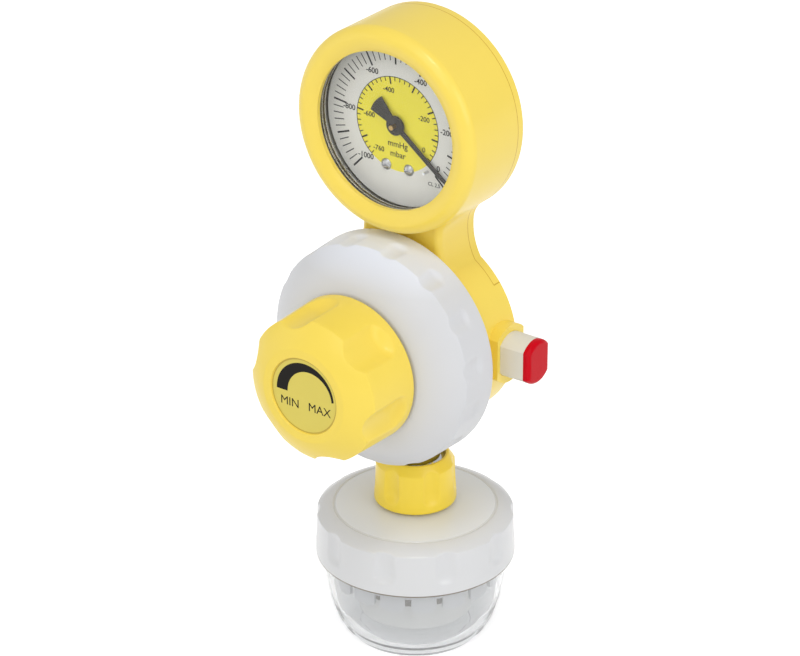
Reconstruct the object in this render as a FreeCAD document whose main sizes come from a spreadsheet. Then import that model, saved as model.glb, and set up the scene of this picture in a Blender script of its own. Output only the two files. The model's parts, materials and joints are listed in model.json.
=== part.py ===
import FreeCAD, Part
import math
import os
import Sketcher

# Vacuum regulator with gauge, control knob, push-through on/off bar and safety jar.
# Origin: centre of the flat back of the body, where the inlet spigot leaves.
# +X is the side with the red button, -Y is the front, +Z is up.

SIZES = [
    # round lower body and what it carries
    ("body_radius", 36.0),
    ("body_depth", 24.0),
    ("collar_radius", 38.6),
    ("collar_length", 12.0),
    ("chamber_radius", 32.0),
    ("chamber_depth", 7.0),
    ("running_fit", 0.05),
    ("loose_gap", 0.3),
    ("seat_fit", 0.02),
    # gauge drum and its rear cover
    ("gauge_height", 82.85),
    ("drum_radius", 38.0),
    ("drum_crown", 32.0),
    ("opening_radius", 29.0),
    ("opening_plane", 30.0),
    ("lip_back", 28.4),
    ("cover_thickness", 3.6),
    ("cover_spigot", 1.0),
    # neck between the drum and the lower body
    ("crown_radius", 33.8),
    ("bezel_rounding", 4.2),
    ("cover_rounding", 0.9),
    ("neck_front", 21.0),
    ("neck_rounding", 2.5),
    ("neck_half_width", 17.0),
    ("neck_waist", 41.5),
    ("neck_lower_curve", 23.0),
    ("neck_upper_curve", 10.0),
    ("cover_step", 22.0),
    # on/off bar
    ("bar_radius", 8.3),
    ("bar_flat", 6.45),
    ("bar_setback", 8.05),
    ("bar_reach", 48.7),
    ("bar_travel", 8.0),
    ("guide_end", 12.9),
    ("spool_radius", 4.6),
    ("spool_groove", 3.4),
    ("ring_wire", 1.3),
    ("ring_spacing", 7.0),
    ("port_radius", 1.5),
    ("cap_thickness", 2.6),
    ("cap_rounding", 1.6),
    ("boss_reach", 39.0),
    ("boss_wall", 2.7),
    ("boss_flat_wall", 1.6),
    # inlet spigot
    ("inlet_radius", 5.0),
    ("inlet_length", 26.0),
    ("inlet_tail", 2.8),
    ("inlet_shank", 4.4),
    ("inlet_bore", 2.0),
    ("inlet_land", 18.0),
    ("cover_screw_circle", 35.1),
    ("cover_screw_head", 2.2),
    ("cover_screw_recess", 2.0),
    ("cover_screw_shank", 1.25),
    ("cover_screw_length", 10.0),
    # bonnet
    ("bonnet_radius", 42.7),
    ("bonnet_skirt", 38.9),
    ("bonnet_edge", 13.0),
    ("bonnet_face_radius", 38.0),
    ("bonnet_face", 19.8),
    ("bonnet_centre_face", 25.0),
    ("bonnet_wall", 2.8),
    ("bonnet_notch_radius", 9.0),
    ("bonnet_notch_depth", 1.3),
    ("bonnet_notch_length", 11.5),
    ("bonnet_notches", 15),
    ("tower_radius", 14.0),
    ("tower_bore", 11.6),
    ("tower_front", 69.0),
    ("tower_floor", 66.0),
    # knob and spindle
    ("knob_back", 50.0),
    ("knob_back_radius", 27.5),
    ("knob_edge_radius", 26.8),
    ("knob_edge", 72.0),
    ("knob_front", 77.6),
    ("knob_face_radius", 17.5),
    ("knob_wall", 3.6),
    ("knob_cavity", 19.0),
    ("flute_radius", 11.5),
    ("flute_depth", 3.6),
    ("flute_land", 3.6),
    ("flutes", 6),
    ("label_radius", 14.2),
    ("label_recess", 0.8),
    ("label_thickness", 0.5),
    ("spindle_radius", 4.0),
    ("spindle_collar", 6.5),
    ("spindle_end", 50.0),
    ("screw_head_radius", 4.2),
    ("screw_head_height", 1.8),
    ("screw_shank", 1.6),
    ("bush_radius", 6.6),
    # spring, diaphragm and valve
    ("plate_front", 61.5),
    ("plate_thickness", 3.0),
    ("spring_radius", 8.6),
    ("spring_wire", 0.9),
    ("spring_coils", 5),
    ("diaphragm_thickness", 1.2),
    ("disc_radius", 13.5),
    ("disc_thickness", 1.6),
    ("valve_stem", 1.6),
    ("valve_head", 4.2),
    ("valve_head_length", 3.0),
    ("valve_bore", 5.6),
    ("seat_thickness", 2.4),
    ("valve_hole", 2.4),
    ("valve_bore_end", 15.5),
    # gauge works
    ("case_radius", 31.6),
    ("case_wall", 0.9),
    ("case_gap", 0.6),
    ("window_margin", 0.8),
    ("ring_width", 1.9),
    ("dial_gap", 0.5),
    ("case_front", 23.9),
    ("gasket_thickness", 0.4),
    ("window_thickness", 1.6),
    ("dial_front", 21.6),
    ("dial_thickness", 0.6),
    ("dial_screw_radius", 2.15),
    ("dial_screw_spacing", 9.7),
    ("dial_screw_drop", 16.0),
    ("arbor_radius", 0.9),
    ("pointer_length", 27.0),
    ("pointer_tail", 11.2),
    ("pointer_hub", 3.5),
    ("pointer_lift", 0.8),
    ("arbor_end", 3.1),
    ("pointer_thickness", 0.5),
    ("block_half_width", 8.0),
    ("block_top", 12.0),
    ("block_depth", 14.0),
    ("stem_setback", 12.5),
    ("stem_radius", 5.0),
    ("stem_length", 20.0),
    ("frame_gap", 7.0),
    ("frame_plate", 0.9),
    ("tooth_module", 0.4),
    ("pinion_teeth", 10),
    ("gear_ratio", 6),
    ("gear_width", 1.6),
    ("gear_setback", 15.0),
    ("sector_tail", 5.0),
    ("tip_tab", 4.0),
    ("pin_radius", 0.6),
    ("tube_arc_radius", 23.5),
    ("tube_width", 4.4),
    ("tube_depth", 1.8),
    ("stop_pin_radius", 0.5),
    ("stop_pin_circle", 19.4),
    # outlet, union nut, lid and jar
    ("jar_setback", 12.0),
    ("outlet_boss", 38.4),
    ("outlet_boss_radius", 11.8),
    ("outlet_flange", 11.6),
    ("outlet_flange_end", 43.0),
    ("outlet_neck", 9.2),
    ("outlet_thread", 10.9),
    ("outlet_end", 59.0),
    ("outlet_tail", 6.5),
    ("outlet_tail_length", 11.0),
    ("outlet_bore", 3.5),
    ("nut_top", 50.0),
    ("nut_bottom", 68.6),
    ("nut_top_radius", 14.6),
    ("nut_bottom_radius", 15.25),
    ("nut_chamfer", 3.4),
    ("nut_floor", 3.6),
    ("nut_recesses", 6),
    ("nut_recess_radius", 7.0),
    ("nut_recess_depth", 1.0),
    ("connector_radius", 8.6),
    ("connector_flange", 10.9),
    ("connector_flange_height", 2.4),
    ("lid_top", 68.9),
    ("lid_shoulder", 71.2),
    ("lid_shoulder_radius", 33.2),
    ("lid_bottom", 90.7),
    ("lid_radius", 37.0),
    ("lid_upper_radius", 36.3),
    ("lid_corner", 75.2),
    ("lid_ledge", 77.4),
    ("lid_wall", 2.4),
    ("lid_fall", 2.1),
    ("lid_flutes", 10),
    ("lid_flute_radius", 8.5),
    ("lid_flute_depth", 0.9),
    ("lid_flute_end", 87.0),
    ("jar_rim_radius", 33.9),
    ("jar_step", 108.3),
    ("jar_step_radius", 31.8),
    ("jar_foot_radius", 25.0),
    ("jar_bottom", 122.6),
    ("jar_wall", 2.0),
    ("jar_recess_radius", 20.7),
    ("jar_recess", 1.2),
    ("seal_thickness", 1.4),
    ("cage_radius", 29.6),
    ("cage_wall", 1.2),
    ("cage_top", 73.9),
    ("cage_web", 84.0),
    ("tab_top", 95.5),
    ("tab_bottom", 105.0),
    ("tab_gap", 2.4),
    ("tabs", 16),
    ("cup_radius", 20.9),
    ("cup_bottom", 113.0),
    ("float_radius", 12.0),
    ("float_height", 20.0),
]

# Angles in degrees, and the thickness of the gauge's link, for the shapes drawn in numbers
STOP_PIN_ANGLE = -48.4
POINTER_REST = -38
TUBE_TIP_ANGLE = -20
SECTOR_LEAN = 10
TAIL_ANGLE = -35
LINK_THICKNESS = 0.8


class Length:
    """A size that knows its number and the sheet expression that it comes from."""

    def __init__(self, value, text):
        self.value = value
        self.text = text

    def __add__(self, other):
        other = length(other)
        return Length(self.value + other.value, f"({self.text} + {other.text})")

    def __sub__(self, other):
        other = length(other)
        return Length(self.value - other.value, f"({self.text} - {other.text})")

    def __mul__(self, other):
        other = length(other)
        return Length(self.value * other.value, f"({self.text} * {other.text})")

    def __truediv__(self, other):
        other = length(other)
        return Length(self.value / other.value, f"({self.text} / {other.text})")

    def __neg__(self):
        return Length(-self.value, f"(0 - {self.text})")

    def __radd__(self, other):
        return length(other) + self

    def __rsub__(self, other):
        return length(other) - self

    def __rmul__(self, other):
        return length(other) * self


def length(size):
    return size if isinstance(size, Length) else Length(float(size), f"{float(size):.9g}")


def root(size):
    return Length(math.sqrt(size.value), f"sqrt({size.text})")


doc = FreeCAD.newDocument("vacuum_regulator")
sheet = doc.addObject("Spreadsheet::Sheet", "sizes")
sheet.Label = "sizes"


class Sizes:
    """Every driving size by its name, as a Length."""


s = Sizes()
for row, (alias, number) in enumerate(SIZES, start=1):
    sheet.set(f"A{row}", alias)
    sheet.set(f"B{row}", str(number))
    sheet.setAlias(f"B{row}", alias)
    setattr(s, alias, Length(number, f"sizes.{alias}"))
doc.recompute()

NODES = []
ALONG = {
    "X": FreeCAD.Rotation(FreeCAD.Vector(0, 1, 0), 90),
    "Y": FreeCAD.Rotation(FreeCAD.Vector(1, 0, 0), -90),
    "Z": FreeCAD.Rotation(),
}


def bind(thing, name, size):
    thing.setExpression(name, length(size).text)


def place(thing, x=0, y=0, z=0, rotation=None):
    thing.Placement = FreeCAD.Placement(FreeCAD.Vector(), rotation or FreeCAD.Rotation())
    for letter, size in (("x", x), ("y", y), ("z", z)):
        bind(thing, f"Placement.Base.{letter}", size)
    return thing


def node(thing, name):
    """Keep a finished sub-part under its own name."""
    thing.Label = name
    NODES.append(thing)
    return thing


def new_body(name):
    body = doc.addObject("PartDesign::Body", name)
    return node(body, name)


def origin_feature(body, role):
    return next(item for item in body.Origin.OriginFeatures if item.Role == role)


def new_sketch(body, name, role, x=0, y=0, z=0):
    """A sketch on one of the body's own planes, moved by sizes given in that plane's frame."""
    sketch = body.newObject("Sketcher::SketchObject", name)
    sketch.AttachmentSupport = (origin_feature(body, role), [""])
    sketch.MapMode = "FlatFace"
    for letter, size in (("x", x), ("y", y), ("z", z)):
        bind(sketch, f"AttachmentOffset.Base.{letter}", size)
    return sketch


def pin_point(sketch, geometry, end, x, y):
    """Tie one point of a sketch to its two sizes."""
    for kind, axis, size in (("DistanceX", -2, x), ("DistanceY", -1, y)):
        if not isinstance(size, Length) and size == 0:
            sketch.addConstraint(Sketcher.Constraint("PointOnObject", geometry, end, axis))
            continue
        size = length(size)
        index = sketch.addConstraint(Sketcher.Constraint(kind, -1, 1, geometry, end, size.value))
        bind(sketch, f"Constraints[{index}]", size)


def arc_between(start, finish, radius, side):
    """The short arc between two points, its centre left (1) or right (-1) of the way there."""
    chord = finish - start
    middle = (start + finish) * 0.5
    across = FreeCAD.Vector(-chord.y, chord.x, 0).normalize()
    centre = middle + across * (side * math.sqrt(max(radius**2 - (chord.Length / 2) ** 2, 0)))
    first = start if side > 0 else finish
    last = finish if side > 0 else start
    angles = [math.atan2(p.y - centre.y, p.x - centre.x) for p in (first, last)]
    circle = Part.Circle(centre, FreeCAD.Vector(0, 0, 1), radius)
    return Part.ArcOfCircle(circle, angles[0], angles[1])


def outline(sketch, points):
    """A closed outline. A point is (x, y), or (x, y, radius, side) where an arc leads to it."""
    corners = [FreeCAD.Vector(length(p[0]).value, length(p[1]).value, 0) for p in points]
    ends = []
    for i, point in enumerate(points):
        start, finish = corners[i - 1], corners[i]
        if len(point) == 2:
            index = sketch.addGeometry(Part.LineSegment(start, finish), False)
            ends.append((index, 1, 2))
            continue
        radius, side = length(point[2]), point[3]
        index = sketch.addGeometry(arc_between(start, finish, radius.value, side), False)
        number = sketch.addConstraint(Sketcher.Constraint("Radius", index, radius.value))
        bind(sketch, f"Constraints[{number}]", radius)
        ends.append((index, 1, 2) if side > 0 else (index, 2, 1))
    for i, point in enumerate(points):
        index, _, last = ends[i]
        following, first, _ = ends[(i + 1) % len(points)]
        sketch.addConstraint(Sketcher.Constraint("Coincident", index, last, following, first))
        pin_point(sketch, index, last, point[0], point[1])
    return sketch


def ring(sketch, radius, x=0, y=0):
    """A full circle about a centre."""
    radius = length(radius)
    centre = FreeCAD.Vector(length(x).value, length(y).value, 0)
    index = sketch.addGeometry(Part.Circle(centre, FreeCAD.Vector(0, 0, 1), radius.value), False)
    number = sketch.addConstraint(Sketcher.Constraint("Radius", index, radius.value))
    bind(sketch, f"Constraints[{number}]", radius)
    pin_point(sketch, index, 3, x, y)
    return sketch


def revolve(body, name, role, points, kind="Revolution", x=0, y=0, z=0):
    """Turn an outline of (radius, height) points about the upright axis of its sketch."""
    sketch = outline(new_sketch(body, name + "_outline", role, x, y, z), points)
    feature = body.newObject("PartDesign::" + kind, name)
    feature.Profile = sketch
    feature.ReferenceAxis = (sketch, ["V_Axis"])
    feature.Angle = 360
    body.Tip = feature
    return feature


def turned(name, points, y=0, z=0, axis="Y"):
    """A sub-part made by turning one outline about the Y or Z axis."""
    body = new_body(name)
    role = "XY_Plane" if axis == "Y" else "XZ_Plane"
    revolve(body, name + "_turning", role, points)
    return place(body, 0, y, z)


def pad(body, sketch, name, size, backward=False):
    feature = body.newObject("PartDesign::Pad", name)
    feature.Profile = sketch
    feature.Reversed = backward
    bind(feature, "Length", size)
    body.Tip = feature
    return feature


def pocket(body, sketch, name, size=None, backward=False):
    """Cut a sketch into the body, all the way through when no depth is given."""
    feature = body.newObject("PartDesign::Pocket", name)
    feature.Profile = sketch
    feature.Reversed = backward
    if size is None:
        feature.Type = 1
    else:
        bind(feature, "Length", size)
    body.Tip = feature
    return feature


def repeat(body, features, name, count, role):
    """Repeat features evenly round one axis of the body."""
    pattern = body.newObject("PartDesign::PolarPattern", name)
    pattern.Originals = features
    pattern.Axis = (origin_feature(body, role), [""])
    pattern.Angle = 360
    bind(pattern, "Occurrences", count)
    body.Tip = pattern
    return pattern


def soften(body, name, radius, chosen):
    """Round the edges of the body that a test picks out."""
    doc.recompute()
    base = body.Tip
    edges = [f"Edge{i}" for i, edge in enumerate(base.Shape.Edges, start=1) if chosen(edge)]
    feature = body.newObject("PartDesign::Fillet", name)
    feature.Base = (base, edges)
    bind(feature, "Radius", radius)
    body.Tip = feature
    return feature


def circle_edge(radius, height, axis):
    """A test for the round edge of one radius at one height along an axis."""
    radius, height = length(radius).value, length(height).value

    def chosen(edge):
        curve = edge.Curve
        if not isinstance(curve, Part.Circle) or abs(curve.Radius - radius) > 0.01:
            return False
        return abs(getattr(curve.Center, axis) - height) < 0.01

    return chosen


def cylinder(name, radius, size, axis, x=0, y=0, z=0):
    rod = doc.addObject("Part::Cylinder", name)
    bind(rod, "Radius", radius)
    bind(rod, "Height", size)
    return place(rod, x, y, z, ALONG[axis])


def torus(name, radius, wire, axis, x=0, y=0, z=0):
    loop = doc.addObject("Part::Torus", name)
    bind(loop, "Radius1", radius)
    bind(loop, "Radius2", wire)
    return place(loop, x, y, z, ALONG[axis])


def block(name, wide, deep, high, x=0, y=0, z=0):
    brick = doc.addObject("Part::Box", name)
    bind(brick, "Length", wide)
    bind(brick, "Width", deep)
    bind(brick, "Height", high)
    return place(brick, x, y, z)


def fused(name, shapes):
    union = doc.addObject("Part::MultiFuse", name)
    union.Shapes = shapes
    return union


def together(name, shapes):
    group = doc.addObject("Part::Compound", name)
    group.Links = shapes
    return group


def without(name, base, tool):
    difference = doc.addObject("Part::Cut", name)
    difference.Base = base
    difference.Tool = tool
    return difference


def common(name, first, second):
    overlap = doc.addObject("Part::Common", name)
    overlap.Base = first
    overlap.Tool = second
    return overlap


def drawn(name, shape, y=0, z=0):
    """A sub-part drawn from its own sizes about a point of the middle plane."""
    thing = doc.addObject("Part::Feature", name)
    thing.Shape = shape
    return node(place(thing, 0, y, z), name)


def neck_side():
    """The concave side of the neck: where it leaves the body, its waist, and where it meets the drum."""
    lower_x = s.neck_half_width + s.neck_lower_curve
    span = root(lower_x * lower_x + s.neck_waist * s.neck_waist)
    body_square = s.body_radius * s.body_radius
    along = (body_square - s.neck_lower_curve * s.neck_lower_curve + span * span) / (2 * span)
    across = root(body_square - along * along)
    foot = (
        (along * lower_x + across * s.neck_waist) / span,
        (along * s.neck_waist - across * lower_x) / span,
    )
    upper_x = s.neck_half_width + s.neck_upper_curve
    reach = s.drum_radius + s.neck_upper_curve
    drop = root(reach * reach - upper_x * upper_x)
    share = s.drum_radius / reach
    waist_top = s.gauge_height - drop
    meeting = (upper_x * share, s.gauge_height - drop * share)
    inside = (s.case_radius + s.case_gap + 2) / reach
    inner = (upper_x * inside, s.gauge_height - drop * inside)
    return foot, waist_top, meeting, inner


def neck_outline(sketch, foot, base_half, base_height):
    """The neck from a foot on each side up to the inside of the drum's wall."""
    _, waist_top, meeting, inner = neck_side()
    half = s.neck_half_width
    lower, upper = s.neck_lower_curve, s.neck_upper_curve
    return outline(sketch, [
        (base_half, base_height),
        foot,
        (half, s.neck_waist, lower, -1),
        (half, waist_top),
        (meeting[0], meeting[1], upper, -1),
        inner,
        (-inner[0], inner[1], (s.case_radius + s.case_gap) + 2, -1),
        (-meeting[0], meeting[1]),
        (-half, waist_top, upper, -1),
        (-half, s.neck_waist),
        (-foot[0], foot[1], lower, -1),
        (-base_half, base_height),
    ])


def flat_sided(sketch, radius, flat, centre):
    """A circle with a flat in front and one behind, as the on/off bar has."""
    rise = root(radius * radius - flat * flat)
    return outline(sketch, [
        (centre + flat, rise),
        (centre - flat, rise, radius, 1),
        (centre - flat, -rise),
        (centre + flat, -rise, radius, 1),
    ])


def body_housing():
    body = new_body("body_housing")
    foot = neck_side()[0]
    disc = ring(new_sketch(body, "disc_outline", "XZ_Plane"), s.body_radius)
    pad(body, disc, "disc", s.body_depth)
    neck = new_sketch(body, "neck_outline", "XZ_Plane", z=s.cover_thickness)
    neck_outline(neck, foot, foot[0] * 0.7, foot[1] * 0.6)
    pad(body, neck, "neck", s.neck_front - s.cover_thickness)
    edges = {round(foot[0].value, 2), round(s.neck_half_width.value, 2)}
    front = -s.neck_front.value

    def front_side(edge):
        middle = edge.CenterOfMass
        on_front = all(abs(v.Y - front) < 0.01 for v in edge.Vertexes)
        return on_front and abs(middle.x) > min(edges) - 0.5 and middle.z > foot[1].value

    soften(body, "neck_edges", s.neck_rounding, front_side)
    collar = ring(new_sketch(body, "collar_outline", "XZ_Plane", z=s.body_depth), s.collar_radius)
    pad(body, collar, "collar", s.collar_length)
    revolve(body, "drum", "XY_Plane", [
        (s.opening_radius, -s.opening_plane),
        (s.crown_radius, -s.drum_crown, 9, 1),
        (s.drum_radius, s.bezel_rounding - s.drum_crown, s.bezel_rounding + 0.6, 1),
        (s.drum_radius, -s.cover_thickness),
        (s.case_radius + s.case_gap, -s.cover_thickness),
        (s.case_radius + s.case_gap, -s.lip_back),
        (s.opening_radius, -s.lip_back),
    ], z=s.gauge_height)
    boss = new_sketch(body, "bar_boss_outline", "YZ_Plane", z=-s.boss_reach)
    flat_sided(boss, s.bar_radius + s.boss_wall, s.bar_flat + s.boss_flat_wall, -s.bar_setback)
    pad(body, boss, "bar_boss", s.boss_reach * 2)
    outlet = new_sketch(body, "outlet_boss_outline", "XY_Plane", z=-s.outlet_boss)
    ring(outlet, s.outlet_boss_radius, 0, -s.jar_setback)
    pad(body, outlet, "outlet_boss", s.outlet_boss - s.body_radius * 0.8)
    hollow_body(body)
    return body


def hollow_body(body):
    """The chamber, bores and passages cut into the body."""
    front = s.body_depth + s.collar_length
    centre = -s.bar_setback
    chamber = ring(new_sketch(body, "chamber_outline", "XZ_Plane", z=front), s.chamber_radius)
    pocket(body, chamber, "chamber", s.chamber_depth)
    valve = ring(new_sketch(body, "valve_bore_outline", "XZ_Plane", z=front), s.valve_bore)
    pocket(body, valve, "valve_bore_cut", front - s.valve_bore_end)
    spool = new_sketch(body, "spool_bore_outline", "YZ_Plane", z=s.boss_reach)
    ring(spool, s.spool_radius + s.running_fit, centre, 0)
    pocket(body, spool, "spool_bore")
    for side, reach in (("right", s.boss_reach), ("left", -s.boss_reach)):
        guide = new_sketch(body, f"{side}_guide_outline", "YZ_Plane", z=reach)
        flat_sided(guide, s.bar_radius + s.running_fit, s.bar_flat + s.running_fit, centre)
        pocket(body, guide, f"{side}_guide", s.boss_reach - s.guide_end, side == "left")
    valve_port = ring(new_sketch(body, "valve_port_outline", "XZ_Plane", z=front), s.port_radius)
    pocket(body, valve_port, "valve_port", front - s.bar_setback)
    inlet = ring(new_sketch(body, "inlet_port_outline", "XZ_Plane"), s.inlet_bore)
    pocket(body, inlet, "inlet_port", s.bar_setback, True)
    seat = ring(new_sketch(body, "inlet_seat_outline", "XZ_Plane"), s.inlet_shank + s.seat_fit)
    pocket(body, seat, "inlet_seat", s.inlet_tail, True)
    outlet = new_sketch(body, "outlet_bore_outline", "XY_Plane", z=-s.outlet_boss)
    ring(outlet, s.outlet_tail + s.seat_fit, 0, -s.jar_setback)
    pocket(body, outlet, "outlet_bore_cut", s.outlet_tail_length + s.loose_gap, True)
    outlet_way = new_sketch(body, "outlet_way_outline", "XY_Plane", z=-s.outlet_boss)
    ring(outlet_way, s.outlet_bore, 0, -s.jar_setback)
    pocket(body, outlet_way, "outlet_way", s.outlet_tail_length + s.outlet_bore * 2, True)
    cross = new_sketch(body, "outlet_cross_outline", "XZ_Plane", z=front)
    ring(cross, s.outlet_bore * 0.7, 0, s.outlet_tail_length + s.outlet_bore - s.outlet_boss)
    pocket(body, cross, "outlet_cross", front - s.jar_setback)
    stem_end = s.gauge_height - s.case_radius - s.stem_length - s.loose_gap
    stem = new_sketch(body, "stem_bore_outline", "XY_Plane", z=s.gauge_height)
    ring(stem, s.stem_radius + s.seat_fit, 0, -s.stem_setback)
    pocket(body, stem, "stem_bore", s.gauge_height - stem_end)
    gauge_way = new_sketch(body, "gauge_way_outline", "XY_Plane", z=s.gauge_height)
    ring(gauge_way, s.port_radius, 0, -s.stem_setback)
    pocket(body, gauge_way, "gauge_way", s.gauge_height - stem_end + s.port_radius * 3)
    gauge_cross = new_sketch(body, "gauge_cross_outline", "XZ_Plane", z=front)
    ring(gauge_cross, s.port_radius * 0.8, 0, stem_end - s.port_radius * 2)
    pocket(body, gauge_cross, "gauge_cross", front - s.stem_setback)
    cover_seat = new_sketch(body, "cover_seat_outline", "XZ_Plane")
    neck_outline(cover_seat, cover_foot(), s.neck_half_width * 0.5, s.cover_step)
    pocket(body, cover_seat, "cover_seat", s.cover_thickness, True)
    for name, x, z in cover_screw_places():
        hole = new_sketch(body, f"screw_hole_{name}_outline", "XZ_Plane", z=s.cover_thickness)
        ring(hole, s.cover_screw_shank, x, z)
        pocket(body, hole, f"screw_hole_{name}", s.cover_screw_length, True)


def cover_foot():
    """Where the stepped lower edge of the cover meets the side of the neck."""
    rise = s.neck_waist - s.cover_step
    side = s.neck_half_width + s.neck_lower_curve
    return side - root(s.neck_lower_curve * s.neck_lower_curve - rise * rise), s.cover_step


def cover_screw_places():
    """Three screws round the drum and one at the foot of the cover."""
    circle = s.cover_screw_circle
    return [
        ("top", 0, s.gauge_height + circle),
        ("right", circle * math.cos(math.radians(15)), s.gauge_height - circle * math.sin(math.radians(15))),
        ("left", -circle * math.cos(math.radians(15)), s.gauge_height - circle * math.sin(math.radians(15))),
        ("foot", s.neck_half_width * 0.75, s.cover_step + s.cover_screw_head * 2),
    ]


def rear_cover():
    body = new_body("rear_cover")
    rounding = s.cover_rounding
    revolve(body, "disc", "XY_Plane", [
        (0, 0),
        (0, -s.cover_thickness),
        (s.drum_radius, -s.cover_thickness),
        (s.drum_radius, -rounding),
        (s.drum_radius - rounding, 0, rounding, 1),
    ], z=s.gauge_height)
    neck = new_sketch(body, "neck_outline", "XZ_Plane")
    neck_outline(neck, cover_foot(), s.neck_half_width * 0.5, s.cover_step)
    pad(body, neck, "neck", s.cover_thickness)
    spigot = new_sketch(body, "spigot_outline", "XZ_Plane", z=s.cover_thickness)
    ring(spigot, s.case_radius, 0, s.gauge_height)
    pad(body, spigot, "spigot", s.cover_spigot)
    for name, x, z in cover_screw_places():
        hole = ring(new_sketch(body, f"hole_{name}_outline", "XZ_Plane"), s.cover_screw_shank + 0.2, x, z)
        pocket(body, hole, f"hole_{name}", s.cover_thickness, True)
        recess = new_sketch(body, f"recess_{name}_outline", "XZ_Plane")
        ring(recess, s.cover_screw_head + s.loose_gap, x, z)
        pocket(body, recess, f"recess_{name}", s.cover_screw_recess, True)
    return body


def cover_screws():
    """Pan-head screws with a cross slot each."""
    screws = []
    for name, x, z in cover_screw_places():
        head = cylinder(
            f"screw_head_{name}", s.cover_screw_head, s.cover_screw_recess - 0.4, "Y",
            x, -s.cover_screw_recess, z,
        )
        length_in = s.cover_screw_length + s.cover_thickness - s.cover_screw_recess - s.loose_gap
        shank = cylinder(
            f"screw_shank_{name}", s.cover_screw_shank - s.seat_fit, length_in, "Y",
            x, -s.cover_screw_recess - length_in, z,
        )
        screw = fused(f"screw_{name}", [head, shank])
        slots = [
            block(f"screw_slot_wide_{name}", 2.8, 1, 0.6, x - 1.4, -1.1, z - 0.3),
            block(f"screw_slot_high_{name}", 0.6, 1, 2.8, x - 0.3, -1.1, z - 1.4),
        ]
        screws.append(without(f"slotted_screw_{name}", screw, fused(f"screw_slots_{name}", slots)))
    return node(together("cover_screws", screws), "cover_screws")


def inlet():
    """The spigot that plugs into the wall outlet, and its sealing ring."""
    groove = s.inlet_radius - s.ring_wire
    land = s.inlet_land
    far = land + s.ring_wire * 1.2
    wire = s.ring_wire * 0.49
    tip = s.inlet_length
    turned("inlet_spigot", [
        (s.inlet_bore, -s.inlet_tail),
        (s.inlet_shank, -s.inlet_tail),
        (s.inlet_shank, 0),
        (s.inlet_radius, 0),
        (s.inlet_radius, land),
        (groove, land),
        (groove, far),
        (s.inlet_radius, far),
        (s.inlet_radius, tip - 1),
        (s.inlet_radius - 1, tip),
        (s.inlet_bore, tip),
    ])
    seal = torus("inlet_seal", groove + wire, wire, "Y", 0, land + s.ring_wire * 0.6, 0)
    node(seal, "inlet_seal")


def bonnet():
    """The white bonnet screwed over the body's collar, with scallops round its front edge."""
    body = new_body("bonnet")
    back = -s.body_depth
    edge = back - s.bonnet_edge
    face = back - s.bonnet_face
    centre = back - s.bonnet_centre_face
    rim = back - s.collar_length
    clamp = rim - s.diaphragm_thickness
    wall = s.bonnet_wall
    revolve(body, "bonnet_turning", "XY_Plane", [
        (s.bonnet_skirt, back),
        (s.bonnet_radius, back),
        (s.bonnet_radius - 0.4, edge),
        (s.bonnet_face_radius, face, 7.2, -1),
        (s.knob_back_radius, centre + 0.3, 60, -1),
        (s.tower_radius, centre),
        (s.tower_radius, -s.tower_front),
        (s.bush_radius, -s.tower_front),
        (s.bush_radius, -s.tower_floor),
        (s.tower_bore, -s.tower_floor),
        (s.tower_bore, centre + wall),
        (s.knob_back_radius, centre + wall),
        (s.chamber_radius, face + wall),
        (s.chamber_radius, clamp),
        (s.bonnet_skirt, clamp),
    ])
    notch_axis = s.bonnet_radius + s.bonnet_notch_radius - s.bonnet_notch_depth
    start = face - 2
    finish = back - s.bonnet_face + s.bonnet_notch_length
    notch = revolve(body, "notch", "XY_Plane", [
        (0, start),
        (s.bonnet_notch_radius, start),
        (s.bonnet_notch_radius, finish - 4),
        (s.bonnet_notch_radius - 3, finish, 5, 1),
        (0, finish),
    ], "Groove", x=notch_axis)
    repeat(body, [notch], "notches", s.bonnet_notches, "Y_Axis")
    return place(body, rotation=FreeCAD.Rotation(FreeCAD.Vector(0, 1, 0), -7.5))


def knob():
    """The fluted control knob, a shell closed at the front, with a recess for its label."""
    body = new_body("knob")
    front = -s.knob_front
    back = -s.knob_back
    inner_front = front + s.knob_wall + s.screw_head_height + s.label_recess
    recess = front + s.label_recess
    screw_seat = recess + s.screw_head_height
    revolve(body, "knob_turning", "XY_Plane", [
        (s.spindle_radius + s.seat_fit, inner_front),
        (s.knob_cavity, inner_front),
        (s.knob_cavity + 0.8, back),
        (s.knob_back_radius, back),
        (s.knob_edge_radius, -s.knob_edge),
        (s.knob_face_radius, front, 26, -1),
        (s.label_radius + s.running_fit * 2, front),
        (s.label_radius + s.running_fit, recess),
        (s.screw_head_radius + 0.3, recess),
        (s.screw_head_radius + 0.3, screw_seat),
        (s.spindle_radius + s.seat_fit, screw_seat),
    ])
    axis_radius = s.knob_back_radius + s.flute_radius - s.flute_depth
    start = front - 2
    finish = back - s.flute_land
    flute = revolve(body, "flute", "XY_Plane", [
        (0, start),
        (s.flute_radius, start),
        (s.flute_radius, finish - 5),
        (s.flute_radius - 4.5, finish, 5.2, 1),
        (0, finish),
    ], "Groove", x=axis_radius)
    repeat(body, [flute], "flutes", s.flutes, "Y_Axis")
    return place(body, rotation=FreeCAD.Rotation(FreeCAD.Vector(0, 1, 0), 15))


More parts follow.
